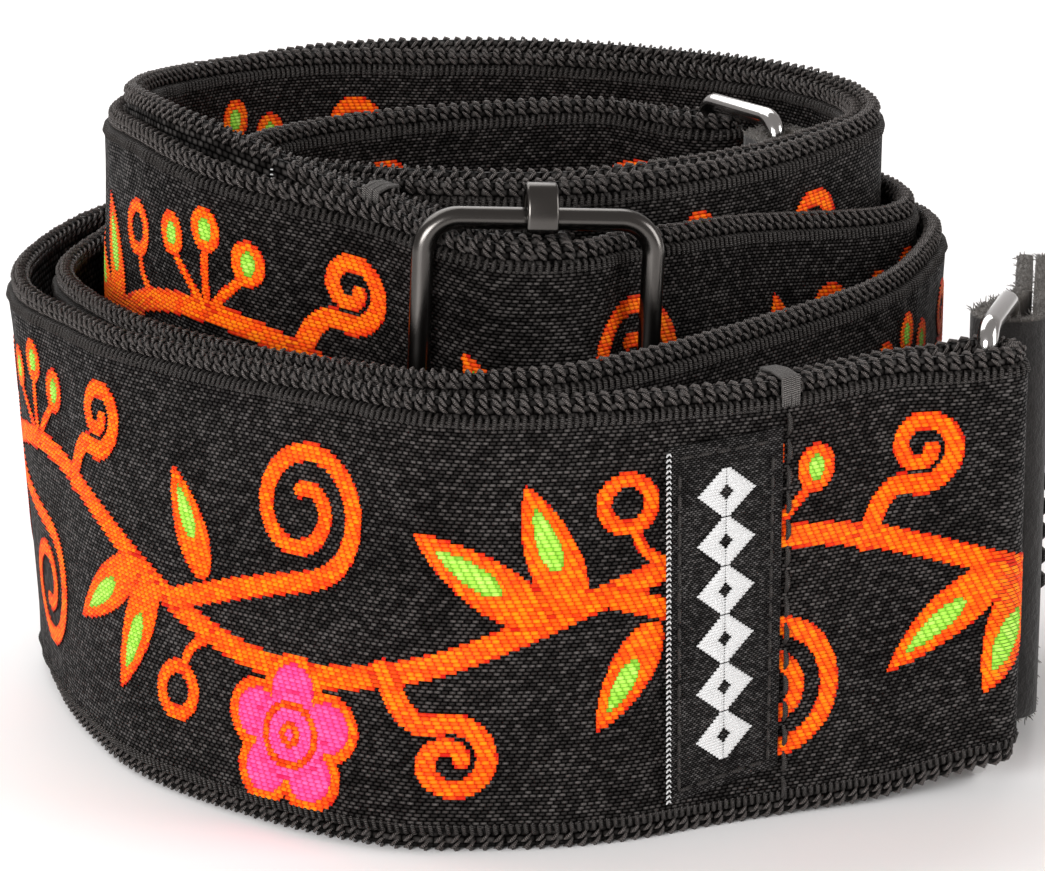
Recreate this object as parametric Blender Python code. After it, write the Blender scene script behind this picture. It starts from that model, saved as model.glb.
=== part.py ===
"""A two-inch woven guitar strap, rolled up and standing on its edge.

One strip of webbing carries a patterned ribbon on its left-hand side all the way along. From its
cut end it folds round the outer ring, winds inwards through the slider, folds round the inner
ring and comes back beside itself to a sewn loop on the slider's centre bar. Each ring carries a
folded leather tab with a strap-button hole. Lengths are in metres, +Z is up.
"""
import bpy
import bmesh
import math
import numpy as np
from mathutils import Vector

MM = 0.001
CLEARANCE = 0.3 * MM
ROUTE_STEP = 0.5 * MM
LOOP_STATION = 8.0 * MM

WEBBING_WIDTH = 50.8 * MM
WEBBING_THICKNESS = 1.5 * MM
RIBBON_WIDTH = 46.0 * MM
RIBBON_THICKNESS = 0.6 * MM
STRAND_GAP = 0.4 * MM
THREAD = 0.4 * MM
THREAD_ROW = 0.6 * MM
RIBBON_INSET = 1.0 * MM
BARTACK_REACH = 3.0 * MM
BARTACK_LENGTH = 2.0 * MM

RING_WIRE = 2.4 * MM
RING_DEPTH = 17.0 * MM
RING_CORNER = 2.4 * MM
LOOP_PINCH = 0.85 * MM
PINCH_LENGTH = 10.0 * MM
RING_LOOP_RADIUS = 3.2 * MM
LOOP_BLEND = 15.0 * MM
OUTER_LOOP_LENGTH = 29.0 * MM
OUTER_SEAM_DISTANCE = 26.4 * MM

SLIDER_WIRE = 2.6 * MM
SLIDER_HALF_WIDTH = 13.2 * MM
SLIDER_OPENING = 52.6 * MM
SLIDER_CORNER = 4.0 * MM
SLIDER_PLACE = Vector((0.8, 27.5)) * MM
SLIDER_TURN = math.radians(8.0)
SLIDER_LEAN = math.radians(2.5)
BAR_WIDTH = 3.6 * MM
BAR_THICKNESS = 1.0 * MM
BAR_BACK = SLIDER_WIRE / 2 + CLEARANCE + BAR_THICKNESS / 2
BAR_CURL = math.radians(205.0)
BAR_LOOP_RADIUS = 1.65 * MM
BAR_LOOP_REACH = 4.0 * MM
BAR_LOOP_SPREAD = 1.85 * MM
BAR_SPREAD_LENGTH = 22.0 * MM
END_STRAND_LENGTH = 34.0 * MM
END_BLEND = 14.0 * MM
END_CLOSING = 25.0 * MM

LEATHER = 2.0 * MM
TAB_WIDTH = 48.6 * MM
TONGUE_WIDTH = 30.0 * MM
TAB_LOOP_RADIUS = 3.6 * MM
TAB_BLEND = 15.0 * MM
TAB_SHORT_LAYER = 34.0 * MM
TAB_SHOULDER = (33.0 * MM, 45.0 * MM)
TAB_SEAM_DISTANCE = 30.0 * MM
TAB_SEAM_LENGTH = 36.0 * MM
BUTTON_HOLE = 8.0 * MM
BUTTON_SLIT = (2.0 * MM, 9.0 * MM)
HOLE_TO_END = 15.0 * MM

LABEL_WIDTH = 13.7 * MM
LABEL_HEIGHT = 41.4 * MM
LABEL_BOTTOM = 3.6 * MM
LABEL_THICKNESS = 0.4 * MM
LABEL_HEM = 1.1 * MM
LABEL_DISTANCE = 27.3 * MM

ROLL_CENTRE = Vector((3.22, 64.79)) * MM

# The main strand's route from the outer ring to the slider, and from the slider to the inner ring:
# x and y of the webbing's middle, the height of its upper edge and how far that edge leans in
# over the lower one, in millimetres.
OUTER_TURNS = (
    (53.0, 18.9, 53.0, 0.0), (47.6, 17.6, 52.4, 1.2), (42.5, 16.6, 51.8, 2.4),
    (29.2, 10.8, 51.0, 0.0), (20.0, 7.1, 50.8, 0.3), (10.9, 3.3, 50.8, 1.6), (4.0, 1.5, 50.8, 2.0),
    (-4.0, 0.8, 50.8, 2.2), (-10.2, 1.5, 50.8, 3.8), (-16.4, 4.3, 50.8, 5.4),
    (-21.9, 8.1, 50.8, 6.6), (-28.0, 12.8, 50.8, 6.7), (-34.6, 18.4, 50.8, 6.2),
    (-43.6, 28.2, 50.8, 4.5), (-49.0, 36.4, 50.8, 1.8), (-53.7, 46.2, 50.8, 0.2),
    (-58.0, 56.5, 50.8, -2.5), (-60.3, 65.0, 50.8, -3.0), (-61.0, 76.5, 51.0, -3.0),
    (-59.6, 88.0, 51.4, -2.4), (-57.2, 97.0, 51.9, -1.6), (-52.0, 107.0, 52.5, -0.8),
    (-33.5, 121.8, 53.0, 0.0), (-11.0, 129.4, 53.8, 0.0),
    (10.0, 127.8, 54.4, 0.0), (27.3, 120.2, 54.8, 0.0), (40.8, 107.4, 55.0, 0.0),
    (49.5, 92.5, 55.0, 0.0), (51.8, 80.0, 55.0, 0.0), (49.4, 66.5, 54.6, 0.0),
    (43.3, 50.0, 54.1, 0.0), (33.0, 35.0, 53.8, 0.0), (22.6, 22.4, 53.6, 0.5),
    (13.2, 11.9, 53.4, 1.4), (5.4, 6.0, 53.2, 2.0), (-3.0, 3.9, 52.9, 2.2),
    (-9.6, 4.6, 52.6, 3.8), (-15.0, 7.2, 52.2, 5.4), (-20.1, 10.7, 51.9, 6.6),
    (-26.1, 15.4, 51.7, 6.7), (-32.5, 20.8, 51.5, 6.2), (-41.3, 30.6, 51.5, 4.5),
    (-46.3, 38.6, 51.7, 1.8), (-50.4, 48.4, 51.7, -0.2), (-53.3, 57.0, 51.6, -1.5),
    (-55.4, 66.0, 51.6, -2.0), (-55.4, 75.0, 51.8, -2.0), (-53.3, 84.0, 52.4, -1.5),
    (-50.5, 94.0, 53.6, -0.8), (-45.4, 105.2, 55.8, 0.0), (-31.0, 119.0, 57.2, 0.0),
    (-11.0, 126.3, 58.2, 0.0), (9.0, 124.6, 58.8, 0.0), (24.5, 117.2, 59.1, 0.0),
    (36.7, 105.4, 59.1, 0.0), (45.2, 92.5, 58.8, 0.0), (48.2, 82.0, 58.5, 0.0),
    (47.6, 75.0, 58.2, 0.0),
    (43.5, 68.4, 58.5, 0.0), (34.0, 57.9, 60.0, 0.0), (25.1, 48.0, 61.5, 0.0),
    (18.2, 39.8, 62.2, 0.0),
)
# Through the slider, along and across it, measured from the middle of its frame.
SLIDER_PASS = (
    (13.2, 5.3, 62.5), (9.7, 2.2, 62.7), (6.6, -1.0, 62.8), (3.6, -2.5, 62.9),
    (0.0, -2.7, 62.9), (-3.6, -2.2, 63.1), (-6.6, -0.7, 63.5), (-9.8, 1.9, 64.2),
    (-13.2, 5.3, 65.0),
)
INNER_TURNS = (
    (-18.5, 34.2, 66.1, 0.0), (-25.8, 37.4, 67.2, 0.0), (-37.2, 45.2, 69.0, 0.5),
    (-46.6, 60.0, 70.5, 1.5), (-51.0, 74.0, 70.2, 1.5), (-50.0, 85.0, 70.2, 0.8),
    (-45.6, 97.5, 70.4, 0.0), (-29.6, 115.6, 71.5, 0.0), (-10.0, 122.7, 71.6, 0.0),
    (9.0, 121.0, 71.4, 0.0), (25.5, 112.7, 71.1, 0.0), (37.7, 100.0, 70.9, 0.0),
    (43.5, 87.0, 70.1, 0.0), (43.2, 77.0, 69.4, 0.0), (38.9, 69.2, 68.8, 0.0),
    (33.0, 62.1, 68.0, 0.0), (20.4, 49.4, 67.5, 0.0), (4.4, 42.6, 67.0, 0.0),
    (-11.9, 43.0, 67.0, 0.0), (-23.0, 47.6, 66.8, 0.0), (-31.5, 54.6, 66.5, 0.0),
    (-36.0, 63.0, 66.2, 0.0), (-35.0, 73.0, 66.0, 0.0), (-29.0, 83.0, 66.0, 0.0),
    (-18.0, 91.5, 66.2, 0.0), (-4.0, 96.5, 66.5, 0.0), (11.0, 98.5, 66.8, 0.0),
    (24.0, 98.5, 66.8, 0.0),
)
# How much higher the returning strand lies than the main one, by its distance from the slider's
# bar, in millimetres. It comes down to the main strand's height at the ring.
RETURN_LIFT = (
    (0.0, 0.3), (14.0, 0.3), (24.0, 0.9), (35.0, 2.2), (45.0, 3.0), (64.0, 3.0), (84.0, 2.4),
    (110.0, 0.4), (135.0, -1.4), (172.0, -1.4), (202.0, -0.8), (240.0, 0.4), (290.0, 1.0),
)
RETURN_FADE = 30.0 * MM
INNER_TAB_ROUTE = (
    (-15.0, 53.4), (0.0, 54.9), (15.0, 56.4), (22.0, 59.0), (28.4, 64.2), (33.2, 70.4),
    (35.6, 76.0), (36.1, 80.5),
)
OUTER_TAB_HEADING = math.radians(82.0)
OUTER_RING_HEADING = math.radians(74.5)
INNER_RING_HEADING = math.radians(-62.0)
TAB_LENGTH = 66.0 * MM


def clear_scene():
    for item in list(bpy.data.objects):
        bpy.data.objects.remove(item)


def make_material(name, colour, roughness, metallic=0.0):
    material = bpy.data.materials.new(name)
    material.use_nodes = True
    shader = material.node_tree.nodes["Principled BSDF"]
    shader.inputs["Base Color"].default_value = (*colour, 1.0)
    shader.inputs["Roughness"].default_value = roughness
    shader.inputs["Metallic"].default_value = metallic
    return material


def add_object(name, vertices, faces, material, origin=(0, 0, 0), smooth=False):
    """A mesh object with its faces pointing out and its origin at the given point."""
    shift = Vector(origin)
    mesh = bpy.data.meshes.new(name)
    mesh.from_pydata([tuple(Vector(v) - shift) for v in vertices], [], faces)
    working = bmesh.new()
    working.from_mesh(mesh)
    bmesh.ops.recalc_face_normals(working, faces=working.faces)
    working.to_mesh(mesh)
    working.free()
    mesh.materials.append(material)
    if smooth:
        mesh.shade_smooth()
    item = bpy.data.objects.new(name, mesh)
    item.location = shift
    bpy.context.scene.collection.objects.link(item)
    return item


# Routes: an array with a row for each point: x, y, the height of the upper edge, and the x and y
# from the lower edge to the upper one.


def smooth_curve(stations, step=ROUTE_STEP):
    """A natural cubic spline through the stations, read at an even step."""
    points = np.array(stations, dtype=float)
    spans = np.linalg.norm(np.diff(points[:, :2], axis=0), axis=1)
    knots = np.concatenate([[0.0], np.cumsum(spans)])
    count = len(knots)
    matrix = np.eye(count)
    sides = np.zeros_like(points)
    for i in range(1, count - 1):
        before, after = spans[i - 1], spans[i]
        matrix[i, i - 1 : i + 2] = before, 2 * (before + after), after
        slopes = (points[i + 1] - points[i]) / after - (points[i] - points[i - 1]) / before
        sides[i] = 6 * slopes
    bend = np.linalg.solve(matrix, sides)
    places = np.linspace(0.0, knots[-1], max(2, int(knots[-1] / step)))
    result = []
    for place in places:
        i = min(int(np.searchsorted(knots, place, side="right")) - 1, count - 2)
        span = spans[i]
        left = (knots[i + 1] - place) / span
        right = (place - knots[i]) / span
        curve = ((left**3 - left) * bend[i] + (right**3 - right) * bend[i + 1]) * span**2 / 6
        result.append(left * points[i] + right * points[i + 1] + curve)
    return np.array(result)


def lengths_along(route):
    steps = np.linalg.norm(np.diff(route[:, :2], axis=0), axis=1)
    return np.concatenate([[0.0], np.cumsum(steps)])


def right_normals(route):
    """Unit vectors to the right of the direction of travel."""
    heading = np.gradient(route[:, :2], axis=0)
    heading /= np.linalg.norm(heading, axis=1)[:, None]
    return np.stack([heading[:, 1], -heading[:, 0]], axis=1)


def lean_inwards(route):
    """Each row's lean to the right, as the x and y from the lower edge to the upper one."""
    return np.hstack([route[:, :3], route[:, 3:] * right_normals(route)])


def smooth_step(value):
    value = np.clip(value, 0.0, 1.0)
    return value * value * (3 - 2 * value)


def loop_centre(route, radius, side):
    return route[-1, :2] + side * radius * right_normals(route)[-1]


def loop_back(route, radius, pitch, blend, length, side):
    """The half circle that turns back from the route's end, then the strand that returns beside
    the route, a pitch away once the loop has closed up. A side of 1 turns right, -1 turns left.
    The pitch is one length, or one for each of the route's points."""
    normal = side * right_normals(route)[-1]
    forward = np.array([-side * normal[1], side * normal[0]])
    centre = loop_centre(route, radius, side)
    arc = []
    for angle in np.linspace(0.0, math.pi, 25)[1:]:
        spot = centre - radius * math.cos(angle) * normal + radius * math.sin(angle) * forward
        arc.append((*spot, *route[-1, 2:]))
    distance = lengths_along(route)
    distance = distance[-1] - distance
    offset = pitch + (2 * radius - pitch) * smooth_step(1 - distance / blend)
    beside = route.copy()
    beside[:, :2] += side * offset[:, None] * right_normals(route)
    kept = beside[(distance <= length) & (distance > LOOP_STATION / 2)][::-1]
    every = int(LOOP_STATION / ROUTE_STEP)
    return smooth_curve(np.vstack([np.array(arc), kept[::every], kept[-1:]]))


def drop_close_points(route, least=0.2 * MM):
    kept = [route[0]]
    for point in route[1:]:
        if np.linalg.norm(point[:2] - kept[-1][:2]) > least:
            kept.append(point)
    return np.array(kept)


def thin_out(route, turn=math.radians(17.0), step=7.5 * MM):
    """Fewer points: one for each share of turning or each step of length."""
    route = drop_close_points(route)
    heading = np.diff(route[:, :2], axis=0)
    angle = np.unwrap(np.arctan2(heading[:, 1], heading[:, 0]))
    distance = lengths_along(route)
    kept = [0]
    for i in range(1, len(route) - 1):
        turned = abs(angle[i] - angle[kept[-1]])
        if turned >= turn or distance[i] - distance[kept[-1]] >= step:
            kept.append(i)
    kept.append(len(route) - 1)
    return route[kept]


def slider_point(along, across):
    """A plan point from the slider frame's own axes."""
    u = Vector((math.cos(SLIDER_TURN), math.sin(SLIDER_TURN)))
    v = Vector((-math.sin(SLIDER_TURN), math.cos(SLIDER_TURN)))
    return SLIDER_PLACE + u * along + v * across


def stretch(route, start, end):
    distance = lengths_along(route)
    return route[(distance >= start) & (distance <= end)]


def strap_routes():
    """The main strand, the whole webbing and its stretches, centred on the roll."""
    stations = [tuple(value * MM for value in row) for row in OUTER_TURNS]
    for along, across, top in SLIDER_PASS:
        stations.append((*slider_point(along * MM, across * MM), top * MM, 0.0))
    stations += [tuple(value * MM for value in row) for row in INNER_TURNS]
    main = lean_inwards(smooth_curve(stations))
    main[:, 2] = np.maximum(main[:, 2], WEBBING_WIDTH)
    main[:, :2] -= np.array(ROLL_CENTRE)
    bonded = WEBBING_THICKNESS + STRAND_GAP

    outer_back = loop_back(main[::-1], RING_LOOP_RADIUS, bonded, LOOP_BLEND, OUTER_LOOP_LENGTH, -1)

    bar_stop = np.array(slider_point(BAR_LOOP_REACH, 0.0) - ROLL_CENTRE)
    turn_point = int(np.argmin(np.linalg.norm(main[:, :2] - bar_stop, axis=1)))
    doubled = main[turn_point:]
    from_bar = lengths_along(doubled)
    end_room = WEBBING_THICKNESS + RIBBON_THICKNESS + 2 * CLEARANCE
    past_end = from_bar - END_STRAND_LENGTH - LOOP_STATION
    apart = bonded + end_room * (1 - smooth_step(past_end / END_CLOSING))
    apart += BAR_LOOP_SPREAD * (1 - smooth_step(from_bar / BAR_SPREAD_LENGTH))
    returning = loop_back(doubled, RING_LOOP_RADIUS, apart, LOOP_BLEND, from_bar[-1], 1)
    from_ring = lengths_along(returning)
    places, rises = np.array(RETURN_LIFT).T * MM
    lift = np.interp(from_ring[-1] - from_ring, places, rises)
    returning[:, 2] += lift * smooth_step(from_ring / RETURN_FADE)
    end = loop_back(returning, BAR_LOOP_RADIUS, bonded, END_BLEND, END_STRAND_LENGTH, 1)
    whole = np.vstack([outer_back[::-1], main, returning, end])
    return {"main": main, "outer_back": outer_back, "returning": returning, "end": end,
            "whole": whole}


def half_widths(route, centres):
    """Half the webbing's width, drawn in where it is gathered in a ring."""
    half = np.full(len(route), WEBBING_WIDTH / 2)
    for centre in centres:
        distance = np.linalg.norm(route[:, :2] - centre, axis=1)
        near = smooth_step(1 - (distance - RING_LOOP_RADIUS) / PINCH_LENGTH)
        half = half - LOOP_PINCH * near
    return half


def strap_spot(point, normal, right, height):
    """The spot at a distance to the right of a strap's middle and at a height on its lean."""
    share = (height - (point[2] - WEBBING_WIDTH / 2)) / WEBBING_WIDTH
    place = point[:2] + normal * right + point[3:] * share
    return (*place, height)


def sweep_strip(name, route, left_from, left_to, low, high, material):
    """A closed strip along the route, between two distances to its left and two heights. Its
    faces are split along like diagonals, so that strips lying on one another stay apart."""
    normals = right_normals(route)
    vertices = []
    for point, normal, bottom, top in zip(route, normals, low, high, strict=True):
        for left, height in ((left_from, bottom), (left_from, top), (left_to, top),
                             (left_to, bottom)):
            vertices.append(strap_spot(point, normal, -left, height))
    faces = [(0, 1, 2, 3)]
    for i in range(len(route) - 1):
        base = 4 * i
        for side, after in ((0, 1), (1, 2), (3, 2), (0, 3)):
            faces.append((base + side, base + 4 + side, base + 4 + after))
            faces.append((base + side, base + 4 + after, base + after))
    last = 4 * (len(route) - 1)
    faces.append((last + 3, last + 2, last + 1, last))
    return add_object(name, vertices, faces, material)


def make_strap(routes, ring_centres, cloth, ribbon_cloth, thread):
    whole = thin_out(routes["whole"])
    half = half_widths(whole, ring_centres)
    middle = whole[:, 2] - WEBBING_WIDTH / 2
    face = WEBBING_THICKNESS / 2
    sweep_strip("webbing", whole, -face, face, middle - half, middle + half, cloth)

    distance = lengths_along(whole)
    inside = (distance > RIBBON_INSET) & (distance < distance[-1] - RIBBON_INSET)
    route, middle, half = whole[inside], middle[inside], half[inside]
    near = face + CLEARANCE
    ribbon_half = half - (WEBBING_WIDTH - RIBBON_WIDTH) / 2
    sweep_strip(
        "jacquard_ribbon", route, near, near + RIBBON_THICKNESS,
        middle - ribbon_half, middle + ribbon_half, ribbon_cloth,
    )
    row = ribbon_half + CLEARANCE
    sweep_strip("ribbon_seam_upper", route, near, near + THREAD, middle + row,
                middle + row + THREAD_ROW, thread)
    sweep_strip("ribbon_seam_lower", route, near, near + THREAD, middle - row - THREAD_ROW,
                middle - row, thread)


def frame_at(route, distance):
    """Place, heading and right normal at a distance along a route."""
    i = int(np.argmin(np.abs(lengths_along(route) - distance)))
    normal = right_normals(route)[i]
    heading = np.array([-normal[1], normal[0]])
    return route[i], heading, normal


def box_on_route(name, route, distance, across, along, heights, material):
    """A small block at a distance along the route, by its reach to the right, its length along
    the strap and its lowest and highest points."""
    place, heading, normal = frame_at(route, distance)
    vertices = []
    for side in across:
        for end in (-along / 2, along / 2):
            for height in heights:
                spot = Vector(strap_spot(place, normal, side, height))
                vertices.append(spot + Vector((*heading, 0)) * end)
    faces = [(0, 1, 3, 2), (4, 6, 7, 5), (0, 4, 5, 1), (2, 3, 7, 6), (0, 2, 6, 4), (1, 5, 7, 3)]
    return add_object(name, vertices, faces, material)


def make_bartack(name, route, distance, across, edge, upward, both_sides, material):
    """Bar stitches that wrap the edge of two sewn strands, from one face to the other or only
    from the open face to the edge."""
    place, heading, normal = frame_at(route, distance)
    low, high = across
    outline = []
    for gap in (CLEARANCE + THREAD, CLEARANCE):
        outline += [(low - gap, -BARTACK_REACH), (low - gap, gap)]
        outline += [(high + gap, gap), (high + gap, -BARTACK_REACH)] if both_sides else [(high, gap)]
    vertices = []
    for end in (-BARTACK_LENGTH / 2, BARTACK_LENGTH / 2):
        for side, height in outline:
            spot = Vector(strap_spot(place, normal, side, edge + upward * height))
            vertices.append(spot + Vector((*heading, 0)) * end)
    count = len(outline)
    half = count // 2
    faces = []
    for i in range(half - 1):
        faces.append((i, i + 1, half + i + 1, half + i))
        faces.append((count + half + i, count + half + i + 1, count + i + 1, count + i))
        for k in (i, half + i):
            faces.append((k, count + k, count + k + 1, k + 1))
    for k in (0, half - 1):
        faces.append((k, count + k, count + half + k, half + k))
    return add_object(name, vertices, faces, material)


def make_loop_sewing(routes, thread):
    """The seams and bar stitches that close the outer loop and the slider's loop."""
    face = WEBBING_THICKNESS / 2
    ribbon_face = face + CLEARANCE + RIBBON_THICKNESS
    bonded = WEBBING_THICKNESS + STRAND_GAP
    main, returning = routes["main"], routes["returning"]

    place = frame_at(main, OUTER_SEAM_DISTANCE)[0]
    top = place[2]
    bottom = top - WEBBING_WIDTH
    seam = (-ribbon_face - CLEARANCE - THREAD, -ribbon_face - CLEARANCE)
    box_on_route("outer_loop_seam", main, OUTER_SEAM_DISTANCE, seam, THREAD_ROW,
                 (bottom + 4.0 * MM, top - 4.0 * MM), thread)
    across = (-ribbon_face, bonded + ribbon_face)
    make_bartack("outer_loop_bartack_upper", main, OUTER_SEAM_DISTANCE, across, top, 1, True,
                 thread)

    full = lengths_along(returning)[-1]
    distance = full - 20.0 * MM
    place = frame_at(returning, distance)[0]
    top = place[2]
    across = (-ribbon_face, bonded + face)
    make_bartack("slider_loop_bartack_upper", returning, distance, across, top, 1, False, thread)
    make_bartack("slider_loop_bartack_lower", returning, distance, across, top - WEBBING_WIDTH,
                 -1, False, thread)
    seam = (-ribbon_face - CLEARANCE - THREAD, -ribbon_face - CLEARANCE)
    box_on_route("slider_loop_seam", returning, full - 26.0 * MM, seam, THREAD_ROW,
                 (top - WEBBING_WIDTH + 4.0 * MM, top - 4.0 * MM), thread)


def plate_on_route(name, route, near, far, low, high, material, hem=None):
    """A plate that follows the route, between two distances to its left. With a hem it is only
    a border of that width round an opening."""
    distance = lengths_along(route)
    start, end = distance[0], distance[-1]
    alongs = [start, end]
    heights = [low, high]
    if hem:
        alongs = [start, start + hem, end - hem, end]
        heights = [low, low + hem, high - hem, high]
    columns = sorted({*alongs, *np.linspace(alongs[0] + (hem or 0), alongs[-1] - (hem or 0), 4)})
    normals = right_normals(route)
    vertices = []
    for along in columns:
        point = np.array([np.interp(along, distance, column) for column in route.T])
        normal = np.array([np.interp(along, distance, column) for column in normals.T])
        normal /= np.linalg.norm(normal)
        for reach in (near, far):
            for height in heights:
                vertices.append(strap_spot(point, normal, -reach, height))
    rows = len(heights)

    def index(column, reach, row):
        return (column * 2 + reach) * rows + row

    def filled(column, row):
        if not (0 <= column < len(columns) - 1 and 0 <= row < rows - 1):
            return False
        return not hem or column in (0, len(columns) - 2) or row in (0, rows - 2)

    faces = []
    for column in range(len(columns) - 1):
        for row in range(rows - 1):
            if not filled(column, row):
                continue
            corners = [(column, row), (column + 1, row), (column + 1, row + 1), (column, row + 1)]
            beyond = [(column, row - 1), (column + 1, row), (column, row + 1), (column - 1, row)]
            faces.append(tuple(index(c, 0, r) for c, r in corners))
            faces.append(tuple(index(c, 1, r) for c, r in reversed(corners)))
            for k in range(4):
                if filled(*beyond[k]):
                    continue
                a, b = corners[k], corners[(k + 1) % 4]
                faces.append((index(a[0], 0, a[1]), index(a[0], 1, a[1]),
                              index(b[0], 1, b[1]), index(b[0], 0, b[1])))
    return add_object(name, vertices, faces, material)


def make_label(routes, label_cloth, thread):
    face = WEBBING_THICKNESS / 2 + CLEARANCE + RIBBON_THICKNESS + CLEARANCE
    low, high = LABEL_BOTTOM, LABEL_BOTTOM + LABEL_HEIGHT
    route = stretch(routes["main"], LABEL_DISTANCE, LABEL_DISTANCE + LABEL_WIDTH)
    plate_on_route("label", route, face, face + LABEL_THICKNESS, low, high, label_cloth)
    start = LABEL_DISTANCE + LABEL_HEM
    route = stretch(routes["main"], start, LABEL_DISTANCE + LABEL_WIDTH - LABEL_HEM)
    near = face + LABEL_THICKNESS + CLEARANCE
    plate_on_route("label_seam", route, near, near + THREAD * 0.75, low + LABEL_HEM,
                   high - LABEL_HEM, thread, hem=THREAD_ROW)


# Wire pieces.


def rounded_rectangle(half_width, half_height, corner, segments=4):
    points = []
    centres = ((1, 1), (-1, 1), (-1, -1), (1, -1))
    for quarter, (sx, sy) in enumerate(centres):
        cx, cy = sx * (half_width - corner), sy * (half_height - corner)
        for k in range(segments + 1):
            angle = math.pi / 2 * (quarter + k / segments)
            points.append((cx + corner * math.cos(angle), cy + corner * math.sin(angle)))
    return points


def wire_frame(name, outline, wire, place, along, up, material, origin):
    """A closed round wire on a flat outline in the plane of two unit vectors."""
    sides = 10
    count = len(outline)
    across = along.cross(up)
    vertices = []
    for i, (a, b) in enumerate(outline):
        before, after = Vector(outline[i - 1]), Vector(outline[(i + 1) % count])
        first = (Vector((a, b)) - before).normalized()
        second = (after - Vector((a, b))).normalized()
        heading = (first + second).normalized()
        widen = 1 / max(0.3, heading.dot(first))
        outward = along * heading.y - up * heading.x
        for k in range(sides):
            angle = 2 * math.pi * k / sides
            reach = outward * (math.cos(angle) * widen) + across * math.sin(angle)
            vertices.append(place + along * a + up * b + reach * (wire / 2))
    faces = []
    for i in range(count):
        after = (i + 1) % count
        for k in range(sides):
            beyond = (k + 1) % sides
            faces.append((i * sides + k, after * sides + k, after * sides + beyond,
                          i * sides + beyond))
    item = add_object(name, vertices, faces, material, origin)
    item.data.shade_smooth()
    return item


def make_ring(name, pivot, heading, material):
    """A rectangular ring that hangs from its near bar on a vertical axis."""
    along = Vector((math.cos(heading), math.sin(heading), 0))
    half_height = WEBBING_WIDTH / 2 - LOOP_PINCH + CLEARANCE + RING_WIRE / 2
    outline = rounded_rectangle(RING_DEPTH / 2, half_height, RING_CORNER, 3)
    centre = pivot + along * (RING_DEPTH / 2)
    wire_frame(name, outline, RING_WIRE, centre, along, Vector((0, 0, 1)), material, pivot)
    return pivot + along * RING_DEPTH


def slider_axes():
    flat = Vector((math.cos(SLIDER_TURN), math.sin(SLIDER_TURN), 0))
    along = flat * math.cos(SLIDER_LEAN) - Vector((0, 0, math.sin(SLIDER_LEAN)))
    up = flat * math.sin(SLIDER_LEAN) + Vector((0, 0, math.cos(SLIDER_LEAN)))
    return along, up


def make_slider(middle_height, frame_metal, bar_metal):
    along, up = slider_axes()
    back = up.cross(along)
    spot = SLIDER_PLACE - ROLL_CENTRE
    place = Vector((spot.x, spot.y, middle_height))
    pivot = place + back * BAR_BACK
    half_height = (SLIDER_OPENING + SLIDER_WIRE) / 2
    outline = rounded_rectangle(SLIDER_HALF_WIDTH, half_height, SLIDER_CORNER)
    wire_frame("slider_frame", outline, SLIDER_WIRE, place, along, up, frame_metal, pivot)

    middle = []
    steps = 9
    for k in range(steps + 1):
        angle = BAR_CURL * (1 - k / steps)
        middle.append((BAR_BACK * math.cos(angle), half_height + BAR_BACK * math.sin(angle)))
    middle += [(v, -w) for v, w in reversed(middle)]
    vertices = []
    for i, (v, w) in enumerate(middle):
        before = Vector(middle[max(i - 1, 0)])
        after = Vector(middle[min(i + 1, len(middle) - 1)])
        heading = (after - before).normalized()
        normal = Vector((-heading.y, heading.x))
        for side in (-1, 1):
            spot = Vector((v, w)) + normal * side * BAR_THICKNESS / 2
            for edge in (-1, 1):
                vertices.append(place + back * spot.x + up * spot.y
                                + along * edge * BAR_WIDTH / 2)
    faces = [(0, 1, 3, 2)]
    for i in range(len(middle) - 1):
        base = 4 * i
        for a, b in ((0, 1), (1, 3), (3, 2), (2, 0)):
            faces.append((base + a, base + 4 + a, base + 4 + b, base + b))
    last = 4 * (len(middle) - 1)
    faces.append((last + 2, last + 3, last + 1, last))
    add_object("slider_centre_bar", vertices, faces, bar_metal, pivot)
    return pivot, along, up, back


# Leather tabs.


def tab_half_width(distance):
    """Half the tab's width at a distance from the loop towards the tongue's round end."""
    start, end = TAB_SHOULDER
    narrow = smooth_step((distance - start) / (end - start))
    half = TAB_WIDTH / 2 + (TONGUE_WIDTH - TAB_WIDTH) / 2 * narrow
    from_end = TAB_LENGTH - distance
    radius = TONGUE_WIDTH / 2
    if from_end < radius:
        half = min(half, math.sqrt(max(radius**2 - (radius - from_end) ** 2, 0.0)))
    return max(half, 2.0 * MM)


def cut_away(item, name, vertices, faces, material):
    cutter = add_object(name, vertices, faces, material)
    cutter.display_type = "WIRE"
    cutter.hide_render = True
    cut = item.modifiers.new(name, "BOOLEAN")
    cut.operation = "DIFFERENCE"
    cut.object = cutter


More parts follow.
